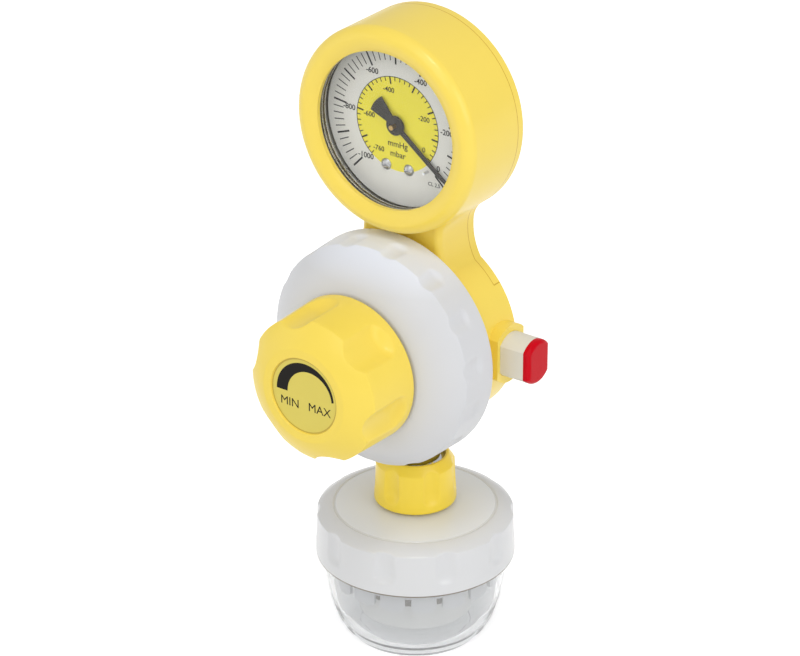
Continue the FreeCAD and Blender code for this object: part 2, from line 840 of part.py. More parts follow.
def knob_details():
    """The label disc, the screw under it, the spindle and the bush that carries it."""
    recess = -s.knob_front + s.label_recess
    seat = recess + s.screw_head_height
    body = new_body("knob_label")
    label = new_sketch(body, "label_outline", "XZ_Plane", z=s.knob_front - s.label_recess)
    disc = ring(label, s.label_radius)
    pad(body, disc, "label_disc", s.label_thickness)
    turned("knob_screw", [
        (0, recess),
        (s.screw_head_radius, recess),
        (s.screw_head_radius, seat),
        (s.screw_shank, seat),
        (s.screw_shank, seat + 8),
        (0, seat + 8),
    ])
    collar_front = -s.tower_floor
    turned("adjusting_spindle", [
        (s.screw_shank + s.seat_fit, seat),
        (s.spindle_radius, seat),
        (s.spindle_radius, collar_front + s.seat_fit),
        (s.spindle_collar, collar_front + s.seat_fit),
        (s.spindle_collar, collar_front + 1.5),
        (s.spindle_radius, collar_front + 1.5),
        (s.spindle_radius, -s.spindle_end),
        (0, -s.spindle_end),
        (0, seat + 8 + s.loose_gap),
        (s.screw_shank + s.seat_fit, seat + 8 + s.loose_gap),
    ])
    turned("spindle_bush", [
        (s.spindle_radius + s.running_fit, -s.tower_front),
        (s.bush_radius - s.seat_fit, -s.tower_front),
        (s.bush_radius - s.seat_fit, -s.tower_floor),
        (s.spindle_radius + s.running_fit, -s.tower_floor),
    ])


def coil(radius, wire, turns, start, finish):
    """A round wire wound about the Y axis between two places along it."""
    pitch = (finish - start - wire * 2) / turns
    path = Part.makeHelix(pitch, pitch * turns, radius)
    section = Part.Wire(Part.makeCircle(wire, FreeCAD.Vector(radius, 0, 0), FreeCAD.Vector(0, 1, 0)))
    spring = Part.Wire(path).makePipeShell([section], True, True)
    spring.rotate(FreeCAD.Vector(), FreeCAD.Vector(1, 0, 0), -90)
    spring.translate(FreeCAD.Vector(0, start + wire, 0))
    return Part.Solid(spring)


def regulating_parts():
    """Spring plate, springs, diaphragm and valve, all about the knob's axis."""
    front, back = -s.plate_front, -s.plate_front + s.plate_thickness
    turned("spring_plate", [
        (s.spindle_radius + s.running_fit, front),
        (s.tower_bore - s.loose_gap, front),
        (s.tower_bore - s.loose_gap, back),
        (s.spindle_radius + s.running_fit, back),
    ])
    rim = -s.body_depth - s.collar_length
    face = rim - s.diaphragm_thickness
    turned("diaphragm", [
        (s.valve_stem + s.running_fit, face),
        (s.disc_radius + 1, face),
        (s.disc_radius + 5, face - 2.4, 4, -1),
        (s.disc_radius + 9, face, 4, -1),
        (s.collar_radius, face),
        (s.collar_radius, rim),
        (s.disc_radius + 9 - 0.6, rim),
        (s.disc_radius + 5, rim - 2.4, 3.6, 1),
        (s.disc_radius + 1.6, rim, 3.6, 1),
        (s.valve_stem + s.running_fit, rim),
    ])
    seat_front = rim + s.chamber_depth
    seat_back = seat_front + s.seat_thickness
    disc_front = face - s.disc_thickness
    turned("diaphragm_plate", [
        (s.valve_stem + s.seat_fit, disc_front),
        (s.disc_radius, disc_front),
        (s.disc_radius, face),
        (s.valve_stem + s.seat_fit, face),
    ])
    turned("backing_plate", [
        (s.valve_stem + s.seat_fit, rim),
        (s.disc_radius - 2, rim),
        (s.disc_radius - 2, rim + s.disc_thickness),
        (s.valve_stem + s.seat_fit, rim + s.disc_thickness),
    ])
    turned("valve_seat", [
        (s.valve_hole, seat_front),
        (s.valve_bore - s.seat_fit, seat_front),
        (s.valve_bore - s.seat_fit, seat_back),
        (s.valve_hole, seat_back),
    ])
    head_back = seat_back + s.running_fit + s.valve_head_length
    turned("valve_poppet", [
        (0, disc_front - 1.4),
        (s.valve_stem * 1.8, disc_front - 1.4),
        (s.valve_stem * 1.8, disc_front),
        (s.valve_stem, disc_front),
        (s.valve_stem, seat_back + s.running_fit),
        (s.valve_head, seat_back + s.running_fit),
        (s.valve_head, head_back),
        (s.valve_stem, head_back),
        (s.valve_stem, head_back + 1.5),
        (0, head_back + 1.5),
    ])
    wire = s.spring_wire.value
    spring = coil(s.spring_radius.value, wire, int(s.spring_coils.value), back.value, disc_front.value)
    drawn("regulation_spring", spring)
    drawn("return_spring", coil(
        s.valve_bore.value - 2, wire / 2, 3, head_back.value, -s.valve_bore_end.value,
    ))


def on_off_bar():
    """The push-through bar, its coloured ends and its two sealing rings."""
    body = new_body("on_off_bar")
    right_end = s.bar_reach
    left_end = -(s.bar_reach - s.bar_travel)
    right_head = s.guide_end + s.bar_travel + s.loose_gap
    left_head = -(s.guide_end + s.loose_gap)
    centre = -s.bar_setback
    for side, start, finish in (("right", right_head, right_end), ("left", left_end, left_head)):
        head = new_sketch(body, f"{side}_head_outline", "YZ_Plane", z=start)
        flat_sided(head, s.bar_radius, s.bar_flat, centre)
        pad(body, head, f"{side}_head", finish - start)
        if side == "right":
            core = ring(new_sketch(body, "spool_outline", "YZ_Plane", z=left_end), s.spool_radius, centre, 0)
            pad(body, core, "spool", right_end - left_end)
    for side, x in (("right", s.ring_spacing), ("left", -s.ring_spacing)):
        outer = new_sketch(body, f"{side}_groove_outline", "YZ_Plane", z=x - s.ring_wire)
        ring(outer, s.spool_radius + 0.4, centre, 0)
        ring(outer, s.spool_groove, centre, 0)
        pocket(body, outer, f"{side}_groove", s.ring_wire * 2, True)
    wire = (s.spool_radius - s.spool_groove - s.seat_fit) / 2
    rings = [
        torus(f"{side}_ring", s.spool_groove + wire + s.seat_fit / 2, wire, "X", x, centre, 0)
        for side, x in (("right", s.ring_spacing), ("left", -s.ring_spacing))
    ]
    node(together("spool_seals", rings), "spool_seals")
    for name, reach in (("red_cap", right_end), ("green_cap", -left_end)):
        cap = new_body(name)
        tip = -reach - s.cap_thickness
        face = new_sketch(cap, f"{name}_outline", "YZ_Plane", z=tip)
        flat_sided(face, s.bar_radius, s.bar_flat, centre)
        pad(cap, face, f"{name}_pad", s.cap_thickness)
        end = tip.value

        def outer_edge(edge, end=end):
            return all(abs(v.X - end) < 0.01 for v in edge.Vertexes)

        soften(cap, f"{name}_rounding", s.cap_rounding, outer_edge)
        if name == "red_cap":
            place(cap, 0, centre * 2, 0, FreeCAD.Rotation(FreeCAD.Vector(0, 0, 1), 180))


def outlet_and_nut():
    """The chrome outlet fitting, the union nut and the swivel connector inside it."""
    flange = -s.outlet_boss
    tail = flange + s.outlet_tail_length
    neck = -s.outlet_flange_end
    end = -s.outlet_end
    fitting = turned("outlet_fitting", [
        (s.outlet_bore, tail),
        (s.outlet_bore, end),
        (s.outlet_thread, end),
        (s.outlet_thread, -s.nut_top - 2),
        (s.outlet_neck, -s.nut_top - 1),
        (s.outlet_neck, neck),
        (s.outlet_flange, neck),
        (s.outlet_flange, flange),
        (s.outlet_tail, flange),
        (s.outlet_tail, tail),
    ], y=-s.jar_setback, axis="Z")
    seal_bottom = end - s.seal_thickness
    flange_bottom = seal_bottom - s.connector_flange_height
    turned("lid_seal", [
        (s.outlet_bore, seal_bottom),
        (s.connector_flange, seal_bottom),
        (s.connector_flange, end),
        (s.outlet_bore, end),
    ], y=-s.jar_setback, axis="Z")
    lid_under = -s.lid_top - s.lid_wall
    turned("lid_connector", [
        (s.outlet_bore, seal_bottom),
        (s.outlet_bore, lid_under - 9),
        (s.outlet_bore + 2.2, lid_under - 9),
        (s.outlet_bore + 2.2, lid_under - s.seat_fit),
        (s.connector_radius - 2, lid_under - s.seat_fit),
        (s.connector_radius - 2, -s.lid_top + s.seat_fit),
        (s.connector_radius, -s.lid_top + s.seat_fit),
        (s.connector_radius, flange_bottom),
        (s.connector_flange, flange_bottom),
        (s.connector_flange, seal_bottom),
    ], y=-s.jar_setback, axis="Z")
    union_nut(flange_bottom)
    return fitting


def union_nut(flange_bottom):
    body = new_body("union_nut")
    bottom = -s.nut_bottom
    floor = flange_bottom - s.running_fit
    revolve(body, "nut_turning", "XZ_Plane", [
        (s.connector_radius + s.running_fit * 2, bottom),
        (s.nut_bottom_radius, bottom),
        (s.nut_top_radius, -s.nut_top - s.nut_chamfer),
        (s.nut_top_radius - s.nut_chamfer * 0.7, -s.nut_top),
        (s.connector_flange + s.loose_gap, -s.nut_top),
        (s.connector_flange + s.loose_gap, floor),
        (s.connector_radius + s.running_fit * 2, floor),
    ])
    axis_radius = s.nut_top_radius + s.nut_recess_radius - s.nut_recess_depth
    finish = bottom + s.nut_floor
    recess = revolve(body, "recess", "XZ_Plane", [
        (0, -s.nut_top + 1),
        (0, finish),
        (s.nut_recess_radius - 3, finish),
        (s.nut_recess_radius, finish + 4, 5, 1),
        (s.nut_recess_radius, -s.nut_top + 1),
    ], "Groove", x=axis_radius)
    repeat(body, [recess], "recesses", s.nut_recesses, "Z_Axis")
    return place(body, 0, -s.jar_setback, 0, FreeCAD.Rotation(FreeCAD.Vector(0, 0, 1), 30))


def jar_lid():
    body = new_body("jar_lid")
    top = -s.lid_top
    under = top - s.lid_wall
    shoulder = -s.lid_shoulder
    corner = -s.lid_corner
    bottom = -s.lid_bottom
    skirt = s.jar_rim_radius + s.loose_gap
    bore = s.connector_radius - 2 + s.seat_fit
    ledge_radius = s.cage_radius + s.loose_gap
    revolve(body, "lid_turning", "XZ_Plane", [
        (bore, top),
        (bore, under),
        (ledge_radius, under - s.lid_fall),
        (ledge_radius + 1, -s.lid_ledge),
        (skirt, -s.lid_ledge),
        (skirt, bottom),
        (s.lid_radius, bottom),
        (s.lid_upper_radius, corner),
        (s.lid_shoulder_radius, shoulder, 4.2, 1),
    ])
    axis_radius = s.lid_upper_radius + s.lid_flute_radius - s.lid_flute_depth
    finish = -s.lid_flute_end
    flute = revolve(body, "flute", "XZ_Plane", [
        (0, top + 1),
        (0, finish),
        (s.lid_flute_radius - 3, finish),
        (s.lid_flute_radius, finish + 4, 5, 1),
        (s.lid_flute_radius, top + 1),
    ], "Groove", x=axis_radius)
    repeat(body, [flute], "flutes", s.lid_flutes, "Z_Axis")
    return place(body, 0, -s.jar_setback, 0)


def jar_parts():
    """The clear jar, its seal, the float cage and the float."""
    ledge = -s.lid_ledge
    rim = ledge - s.seal_thickness
    wall = s.jar_wall
    step = -s.jar_step
    bottom = -s.jar_bottom
    setback = -s.jar_setback
    turned("jar", [
        (s.jar_rim_radius, rim),
        (s.jar_rim_radius, -s.lid_bottom),
        (s.jar_step_radius, step),
        (s.jar_step_radius - 0.5, step - 0.3),
        (s.jar_foot_radius, bottom, 22, -1),
        (s.jar_recess_radius, bottom),
        (s.jar_recess_radius, bottom + s.jar_recess),
        (0, bottom + s.jar_recess),
        (0, bottom + s.jar_recess + wall),
        (s.jar_foot_radius - wall, bottom + s.jar_recess + wall),
        (s.jar_step_radius - wall - 0.4, step, 20, 1),
        (s.jar_rim_radius - wall, -s.lid_bottom),
        (s.jar_rim_radius - wall, rim),
    ], y=setback, axis="Z")
    turned("jar_seal", [
        (s.jar_rim_radius - wall, rim),
        (s.jar_rim_radius, rim),
        (s.jar_rim_radius, ledge),
        (s.jar_rim_radius - wall, ledge),
    ], y=setback, axis="Z")


def float_cage():
    """The white cage in the jar: a crown of hanging tabs round the cup that holds the float."""
    body = new_body("float_cage")
    wall = s.cage_wall
    top, web = -s.cage_top, -s.cage_web
    inside = s.cup_radius - wall
    crown = s.cage_radius - wall
    floor = -s.cup_bottom
    revolve(body, "cage_turning", "XZ_Plane", [
        (inside, top),
        (inside, floor + wall),
        (0, floor + wall),
        (0, floor),
        (s.cup_radius, floor),
        (s.cup_radius, web - wall),
        (crown, web - wall),
        (crown, -s.tab_bottom),
        (s.cage_radius, -s.tab_bottom),
        (s.cage_radius, top),
        (crown, top),
        (crown, web),
        (s.cup_radius, web),
        (s.cup_radius, top),
    ])
    half = s.tab_gap / 2
    tab_corner = 3.4
    bottom = -s.tab_bottom
    slot = new_sketch(body, "slot_outline", "XZ_Plane", z=crown - 1)
    outline(slot, [
        (half, -s.tab_top),
        (-half, -s.tab_top),
        (-half, bottom + tab_corner),
        (-half - tab_corner, bottom, tab_corner, -1),
        (-half - tab_corner, bottom - 1),
        (half + tab_corner, bottom - 1),
        (half + tab_corner, bottom),
        (half, bottom + tab_corner, tab_corner, -1),
    ])
    cut = pocket(body, slot, "slot", wall + 2, True)
    repeat(body, [cut], "slots", s.tabs, "Z_Axis")
    hole = new_sketch(body, "drain_outline", "XY_Plane", z=floor)
    ring(hole, 3, s.cup_radius * 0.6, 0)
    drain = pocket(body, hole, "drain", wall, True)
    repeat(body, [drain], "drains", 4, "Z_Axis")
    place(body, 0, -s.jar_setback, 0, FreeCAD.Rotation(FreeCAD.Vector(0, 0, 1), 8.4))
    rest = floor + wall
    float_top = rest + s.float_height
    turned("float", [
        (0, rest),
        (s.float_radius - 1, rest),
        (s.float_radius, rest + 1),
        (s.float_radius, float_top - 4),
        (s.float_radius - 4, float_top, 5, 1),
        (0, float_top),
    ], y=-s.jar_setback, axis="Z")


def gauge_housing():
    """Case, window, its ring and gasket, and the dial."""
    centre = s.gauge_height
    gasket_back = -s.lip_back + s.gasket_thickness
    window_back = gasket_back + s.window_thickness
    case_back = -s.cover_thickness - s.cover_spigot
    drum_bore = s.case_radius + s.case_gap
    window = s.case_radius - s.window_margin
    ring_inside = s.case_radius - s.ring_width
    turned("window_gasket", [
        (s.opening_radius, -s.lip_back),
        (drum_bore - s.seat_fit, -s.lip_back),
        (drum_bore - s.seat_fit, gasket_back),
        (s.opening_radius, gasket_back),
    ], z=centre)
    turned("gauge_window", [
        (0, gasket_back),
        (window, gasket_back),
        (window, window_back),
        (0, window_back),
    ], z=centre)
    turned("gauge_ring", [
        (window + s.seat_fit, gasket_back),
        (drum_bore - s.seat_fit, gasket_back),
        (drum_bore - s.seat_fit, -s.case_front),
        (ring_inside, -s.case_front),
        (ring_inside, window_back),
        (window + s.seat_fit, window_back),
    ], z=centre)
    case = new_body("gauge_case")
    inner = s.case_radius - s.case_wall
    revolve(case, "case_turning", "XY_Plane", [
        (inner, -s.case_front),
        (s.case_radius, -s.case_front),
        (s.case_radius, case_back),
        (0, case_back),
        (0, case_back - s.case_wall),
        (inner, case_back - s.case_wall),
    ])
    hole = new_sketch(case, "stem_hole_outline", "XY_Plane")
    ring(hole, s.stem_radius + s.loose_gap, 0, -s.stem_setback)
    pocket(case, hole, "stem_hole", s.case_radius + 1)
    place(case, 0, 0, centre)
    dial = new_body("dial")
    disc = new_sketch(dial, "dial_outline", "XZ_Plane", z=s.dial_front - s.dial_thickness)
    ring(disc, inner - s.dial_gap)
    pad(dial, disc, "dial_disc", s.dial_thickness)
    holes = [(s.arbor_radius + 0.6, 0, 0)]
    for x in (-s.dial_screw_spacing / 2, s.dial_screw_spacing / 2):
        holes.append((1.1, x, -s.dial_screw_drop))
    for i, (radius, x, z) in enumerate(holes):
        cut = ring(new_sketch(dial, f"hole_{i}_outline", "XZ_Plane", z=s.dial_front), radius, x, z)
        pocket(dial, cut, f"hole_{i}")
    place(dial, 0, 0, centre)
    angle = math.radians(STOP_PIN_ANGLE)
    pin = cylinder(
        "stop_pin", s.stop_pin_radius, 2.4, "Y",
        s.stop_pin_circle * math.cos(angle), -s.dial_front - 2.4,
        centre + s.stop_pin_circle * math.sin(angle),
    )
    node(pin, "stop_pin")


def dial_screws():
    """Two domed screws that hold the dial to the pressure block, each with a slot."""
    screws = []
    z = s.gauge_height - s.dial_screw_drop
    radius = s.dial_screw_radius
    dome = 1.3
    for side, x in (("left", -s.dial_screw_spacing / 2), ("right", s.dial_screw_spacing / 2)):
        head = cylinder(f"{side}_dial_head", radius, dome, "Y", x, -s.dial_front - dome, z)
        ball = doc.addObject("Part::Sphere", f"{side}_dial_dome")
        bind(ball, "Radius", radius * 1.15)
        place(ball, x, -s.dial_front - dome + radius * 1.15, z)
        domed = common(f"{side}_domed_head", head, ball)
        shank = cylinder(f"{side}_dial_shank", 1.0, 6, "Y", x, -s.dial_front, z)
        screw = fused(f"{side}_dial_screw", [domed, shank])
        slot = block(f"{side}_dial_slot", radius * 2, 0.5, 0.5, x - radius, -s.dial_front - dome, z - 0.25)
        screws.append(without(f"{side}_slotted_dial_screw", screw, slot))
    node(together("dial_screws", screws), "dial_screws")


def pressure_parts():
    """The pressure block with its stem, and the curved tube that bends with the vacuum."""
    front = s.dial_front - s.dial_thickness
    height = s.case_radius - s.case_wall - 1.7
    body = new_body("gauge_socket")
    section = new_sketch(body, "block_outline", "XZ_Plane", z=front - s.block_depth)
    outline(section, [
        (s.block_half_width, -s.block_top),
        (-s.block_half_width, -s.block_top),
        (-s.block_half_width, -height),
        (s.block_half_width, -height),
    ])
    pad(body, section, "block", s.block_depth)
    stem = new_sketch(body, "stem_outline", "XY_Plane", z=-s.case_radius - s.stem_length)
    ring(stem, s.stem_radius, 0, -s.stem_setback)
    pad(body, stem, "stem", s.case_radius + s.stem_length - height + 1)
    bore = new_sketch(body, "bore_outline", "XY_Plane", z=-s.case_radius - s.stem_length)
    ring(bore, s.port_radius, 0, -s.stem_setback)
    pocket(body, bore, "bore", s.stem_length + s.case_radius - s.block_top - 6, True)
    for i, x in enumerate((-s.dial_screw_spacing / 2, s.dial_screw_spacing / 2)):
        tapped = new_sketch(body, f"tapped_{i}_outline", "XZ_Plane", z=front)
        ring(tapped, 1.02, x, -s.dial_screw_drop)
        pocket(body, tapped, f"tapped_{i}", 6)
    place(body, 0, 0, s.gauge_height)
    tube_inside = s.tube_arc_radius.value - s.tube_depth.value / 2
    start = 180 + math.degrees(math.acos((s.block_half_width.value + s.seat_fit.value) / tube_inside))
    tube = curved_tube(start, TUBE_TIP_ANGLE)
    tube.translate(FreeCAD.Vector(0, -s.stem_setback.value, 0))
    pin = tip_pin_place()
    tab_front = link_front() + LINK_THICKNESS + 0.2
    eye = 1.2
    corner = FreeCAD.Vector(pin.Length - eye, tab_front, -eye)
    tab = Part.makeBox(s.tip_tab.value + eye, LINK_THICKNESS, eye * 2, corner)
    tab.rotate(FreeCAD.Vector(), FreeCAD.Vector(0, 1, 0), -TUBE_TIP_ANGLE)
    pin_shape = rod(s.pin_radius.value, LINK_THICKNESS + 0.4, pin.x, link_front() - 0.2, pin.z)
    drawn("bourdon_tube", tube.multiFuse([tab, pin_shape]), 0, s.gauge_height)


def tip_pin_place():
    """Where the tube's tip carries the pin of the link."""
    reach = s.tube_arc_radius.value - s.tip_tab.value
    angle = math.radians(TUBE_TIP_ANGLE)
    return FreeCAD.Vector(reach * math.cos(angle), 0, reach * math.sin(angle))


def link_front():
    """The front face of the link, just behind the sector."""
    return s.gear_width.value / 2 - s.gear_setback.value + 0.2


def curved_tube(start, finish):
    """A flattened tube bent to an arc about the Y axis, from one angle down to the other."""
    radius, tall, deep = s.tube_arc_radius.value, s.tube_width.value, s.tube_depth.value
    half = tall / 2 - deep / 2
    points = [
        FreeCAD.Vector(radius - deep / 2, -half, 0),
        FreeCAD.Vector(radius, -tall / 2, 0),
        FreeCAD.Vector(radius + deep / 2, -half, 0),
        FreeCAD.Vector(radius + deep / 2, half, 0),
        FreeCAD.Vector(radius, tall / 2, 0),
        FreeCAD.Vector(radius - deep / 2, half, 0),
    ]
    section = Part.Wire([
        Part.Arc(points[0], points[1], points[2]).toShape(),
        Part.makeLine(points[2], points[3]),
        Part.Arc(points[3], points[4], points[5]).toShape(),
        Part.makeLine(points[5], points[0]),
    ])
    face = Part.Face(section)
    face.rotate(FreeCAD.Vector(), FreeCAD.Vector(0, 1, 0), -start)
    return face.revolve(FreeCAD.Vector(), FreeCAD.Vector(0, 1, 0), start - finish)


def toothed(outer, root_radius, teeth, first, last):
    """Corners of a run of teeth about the origin, numbered from the tooth at angle zero."""
    step = 360 / teeth
    corners = []
    for tooth in range(first, last + 1):
        for share, radius in ((-0.30, root_radius), (-0.10, outer), (0.10, outer), (0.30, root_radius)):
            angle = math.radians((tooth + share) * step)
            corners.append(FreeCAD.Vector(radius * math.cos(angle), 0, radius * math.sin(angle)))
    return corners


def plate(corners, thickness):
    """A flat plate from its corners in the XZ plane, growing toward +Y."""
    face = Part.Face(Part.makePolygon(corners + corners[:1]))
    return face.extrude(FreeCAD.Vector(0, thickness, 0))


def rod(radius, size, x=0, y=0, z=0):
    return Part.makeCylinder(radius, size, FreeCAD.Vector(x, y, z), FreeCAD.Vector(0, 1, 0))


def movement():
    """Arbor with pinion, toothed sector, link and the two-plate frame that carries them."""
    pinion_radius = s.tooth_module.value * s.pinion_teeth.value / 2
    sector_radius = pinion_radius * s.gear_ratio.value
    module = s.tooth_module.value
    distance = pinion_radius + sector_radius
    lean = math.radians(SECTOR_LEAN)
    pivot = FreeCAD.Vector(distance * math.cos(lean), 0, distance * math.sin(lean))
    gear_front = -s.gear_setback.value - s.gear_width.value / 2
    arbor = s.arbor_radius.value
    fit = s.running_fit.value
    thick = s.frame_plate.value
    gap = s.frame_gap.value
    plate_front = -s.gear_setback.value - gap / 2 - thick
    plate_back = -s.gear_setback.value + gap / 2
    low = -s.block_top.value
    corners = [
        FreeCAD.Vector(-6.5, 0, low),
        FreeCAD.Vector(8, 0, low),
        FreeCAD.Vector(18, 0, -4),
        FreeCAD.Vector(18, 0, 7),
        FreeCAD.Vector(-6.5, 0, 7),
    ]
    frame_parts = []
    for y in (plate_front, plate_back):
        sheet_metal = plate(corners, thick)
        sheet_metal.translate(FreeCAD.Vector(0, y, 0))
        frame_parts.append(sheet_metal)
    for x, z in ((-4.5, -10), (6, -10), (-4.5, 5)):
        frame_parts.append(rod(1.2, gap, x, plate_front + thick, z))
    frame = frame_parts[0].multiFuse(frame_parts[1:])
    bores = rod(arbor + fit, 30, 0, plate_front - 1)
    bores = bores.fuse(rod(arbor + fit, 30, pivot.x, plate_front - 1, pivot.z))
    frame = frame.cut(bores)
    teeth = int(s.pinion_teeth.value)
    rim = toothed(pinion_radius + module * 0.8, pinion_radius - module * 1.2, teeth, 0, teeth - 1)
    pinion = plate(rim, s.gear_width.value)
    pinion.rotate(FreeCAD.Vector(), FreeCAD.Vector(0, 1, 0), -SECTOR_LEAN)
    pinion.translate(FreeCAD.Vector(0, gear_front, 0))
    pointer_back = -s.dial_front.value - s.pointer_lift.value
    shaft_front = pointer_back - s.arbor_end.value
    shaft = rod(arbor, plate_back + thick - shaft_front, 0, shaft_front)
    half_turn = 360 / (s.pinion_teeth.value * s.gear_ratio.value) / 2
    spread = int(math.ceil(270 / s.gear_ratio.value / (half_turn * 2))) + 3
    sector = sector_shape(sector_radius, module, spread, pivot, half_turn)
    sector.translate(FreeCAD.Vector(0, gear_front, 0))
    pivot_shaft = rod(arbor, gap + thick * 2, pivot.x, plate_front, pivot.z)
    tail = FreeCAD.Vector(math.cos(math.radians(TAIL_ANGLE)), 0, math.sin(math.radians(TAIL_ANGLE)))
    pin_place = pivot + tail * s.sector_tail.value
    gear_back = gear_front + s.gear_width.value
    link_pin = rod(s.pin_radius.value, 1.4, pin_place.x, gear_back, pin_place.z)
    sector = sector.fuse(pivot_shaft).fuse(link_pin)
    link = link_shape(pin_place, tip_pin_place(), link_front())
    for name, shape in (
        ("movement_frame", frame),
        ("pointer_arbor", pinion.fuse(shaft)),
        ("sector_gear", sector),
        ("link_rod", link),
    ):
        drawn(name, shape.removeSplitter(), 0, s.gauge_height)


def sector_shape(radius, module, spread, pivot, half_turn):
    """A fan with teeth on its rim toward the pinion and a short tail for the link."""
    teeth = int(s.pinion_teeth.value * s.gear_ratio.value)
    rim = toothed(radius + module * 0.8, radius - module * 1.2, teeth, -2, spread)
    fan = plate([FreeCAD.Vector()] + rim, s.gear_width.value)
    fan.rotate(FreeCAD.Vector(), FreeCAD.Vector(0, 1, 0), -(180 + SECTOR_LEAN + half_turn))
    hub = rod(2.2, s.gear_width.value)
    arm = Part.makeBox(s.sector_tail.value, s.gear_width.value, 2.4, FreeCAD.Vector(0, 0, -1.2))
    arm.rotate(FreeCAD.Vector(), FreeCAD.Vector(0, 1, 0), -TAIL_ANGLE)
    knuckle = rod(
        1.3, s.gear_width.value,
        s.sector_tail.value * math.cos(math.radians(TAIL_ANGLE)), 0,
        s.sector_tail.value * math.sin(math.radians(TAIL_ANGLE)),
    )
    shape = fan.multiFuse([hub, arm, knuckle])
    shape.translate(pivot)
    return shape


def link_shape(start, finish, front):
    """A flat link with an eye at the sector's pin and one at the tube's tip."""
    way = finish - start
    angle = math.degrees(math.atan2(way.z, way.x))
    bar = Part.makeBox(way.Length, LINK_THICKNESS, 1.4, FreeCAD.Vector(0, 0, -0.7))
    bar.rotate(FreeCAD.Vector(), FreeCAD.Vector(0, 1, 0), -angle)
    bar.translate(FreeCAD.Vector(start.x, front, start.z))
    eyes = [rod(1.3, LINK_THICKNESS, point.x, front, point.z) for point in (start, finish)]
    bore = s.pin_radius.value + s.running_fit.value
    back = front - LINK_THICKNESS
    holes = [rod(bore, LINK_THICKNESS * 3, point.x, back, point.z) for point in (start, finish)]
    return bar.multiFuse(eyes).cut(holes[0].fuse(holes[1]))


def pointer():
    """The pointer at zero: a tapered needle, a round hub and a fan-shaped tail."""
    body = new_body("pointer")
    back = s.dial_front + s.pointer_lift
    reach, tail = s.pointer_length, s.pointer_tail
    needle = new_sketch(body, "needle_outline", "XZ_Plane", z=back)
    spread = math.radians(19)
    outline(needle, [
        (reach, 0.35),
        (reach * 0.86, 0.75),
        (2, 0.95),
        (-2, 1.3),
        (-tail * math.cos(spread), tail * math.sin(spread)),
        (-tail * math.cos(spread), -tail * math.sin(spread), tail, 1),
        (-2, -1.3),
        (2, -0.95),
        (reach * 0.86, -0.75),
        (reach, -0.35),
    ])
    pad(body, needle, "needle", s.pointer_thickness)
    hub = ring(new_sketch(body, "hub_outline", "XZ_Plane", z=back), s.pointer_hub)
    pad(body, hub, "hub", s.pointer_thickness * 2)
    bore = ring(new_sketch(body, "bore_outline", "XZ_Plane", z=back + 2), s.arbor_radius + s.seat_fit)
    pocket(body, bore, "bore")
    turn = FreeCAD.Rotation(FreeCAD.Vector(0, 1, 0), -POINTER_REST)
    place(body, 0, 0, s.gauge_height, turn)


def write_nodes():
    """Check every object and then write each sub-part."""
    doc.recompute()
    for thing in doc.Objects:
        bad = [state for state in thing.State if state in ("Invalid", "Error")]
        if bad:
            raise RuntimeError(f"{thing.Name} ({thing.Label}) is {bad}")
    for thing in NODES:
        shape = thing.Shape
        if shape.isNull() or not shape.isValid() or not shape.Solids:
            raise RuntimeError(f"{thing.Label} has no valid solid")
    os.makedirs("parts", exist_ok=True)
    for thing in NODES:
        thing.Shape.exportStep(f"parts/{thing.Label}.step")
        print(thing.Label, len(thing.Shape.Solids), round(thing.Shape.Volume, 1))


body_housing()
rear_cover()
cover_screws()
inlet()
bonnet()
knob()
knob_details()
regulating_parts()
on_off_bar()
outlet_and_nut()
jar_lid()
jar_parts()
float_cage()
gauge_housing()
dial_screws()
pressure_parts()
movement()
pointer()
write_nodes()
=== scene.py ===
import json
import math

import bmesh
import bpy
from mathutils import Matrix, Vector


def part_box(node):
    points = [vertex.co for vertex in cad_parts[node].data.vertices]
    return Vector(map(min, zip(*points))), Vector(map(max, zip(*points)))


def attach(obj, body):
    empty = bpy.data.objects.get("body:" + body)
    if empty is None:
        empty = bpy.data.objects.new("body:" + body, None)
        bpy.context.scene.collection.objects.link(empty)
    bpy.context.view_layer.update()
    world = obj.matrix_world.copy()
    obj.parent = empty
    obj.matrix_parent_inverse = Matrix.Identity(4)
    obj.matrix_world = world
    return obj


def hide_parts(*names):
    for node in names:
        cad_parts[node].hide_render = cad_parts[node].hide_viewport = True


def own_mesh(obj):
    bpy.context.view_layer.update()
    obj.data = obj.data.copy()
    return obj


bl_info = {
    "name": "Vacuum Regulator Looks",
    "version": (1, 0, 0),
    "blender": (4, 5, 0),
    "location": "View3D > Sidebar > Regulator",
    "description": "Dresses a wall vacuum regulator with its mouldings, dial printing and materials",
    "category": "Object",
}

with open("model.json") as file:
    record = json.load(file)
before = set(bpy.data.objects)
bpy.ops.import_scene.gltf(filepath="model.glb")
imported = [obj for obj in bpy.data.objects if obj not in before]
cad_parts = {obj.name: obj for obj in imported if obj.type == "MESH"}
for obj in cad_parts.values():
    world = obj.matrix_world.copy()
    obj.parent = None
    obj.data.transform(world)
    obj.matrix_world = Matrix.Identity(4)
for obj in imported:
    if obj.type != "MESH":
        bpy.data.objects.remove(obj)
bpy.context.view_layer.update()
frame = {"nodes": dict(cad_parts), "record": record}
NODES = frame["nodes"]

MM = 0.001

# Limits in degrees: the steepest smooth edge and the slightest corner that is rounded
SMOOTH_ANGLE = 32
LEAST_CORNER = 22

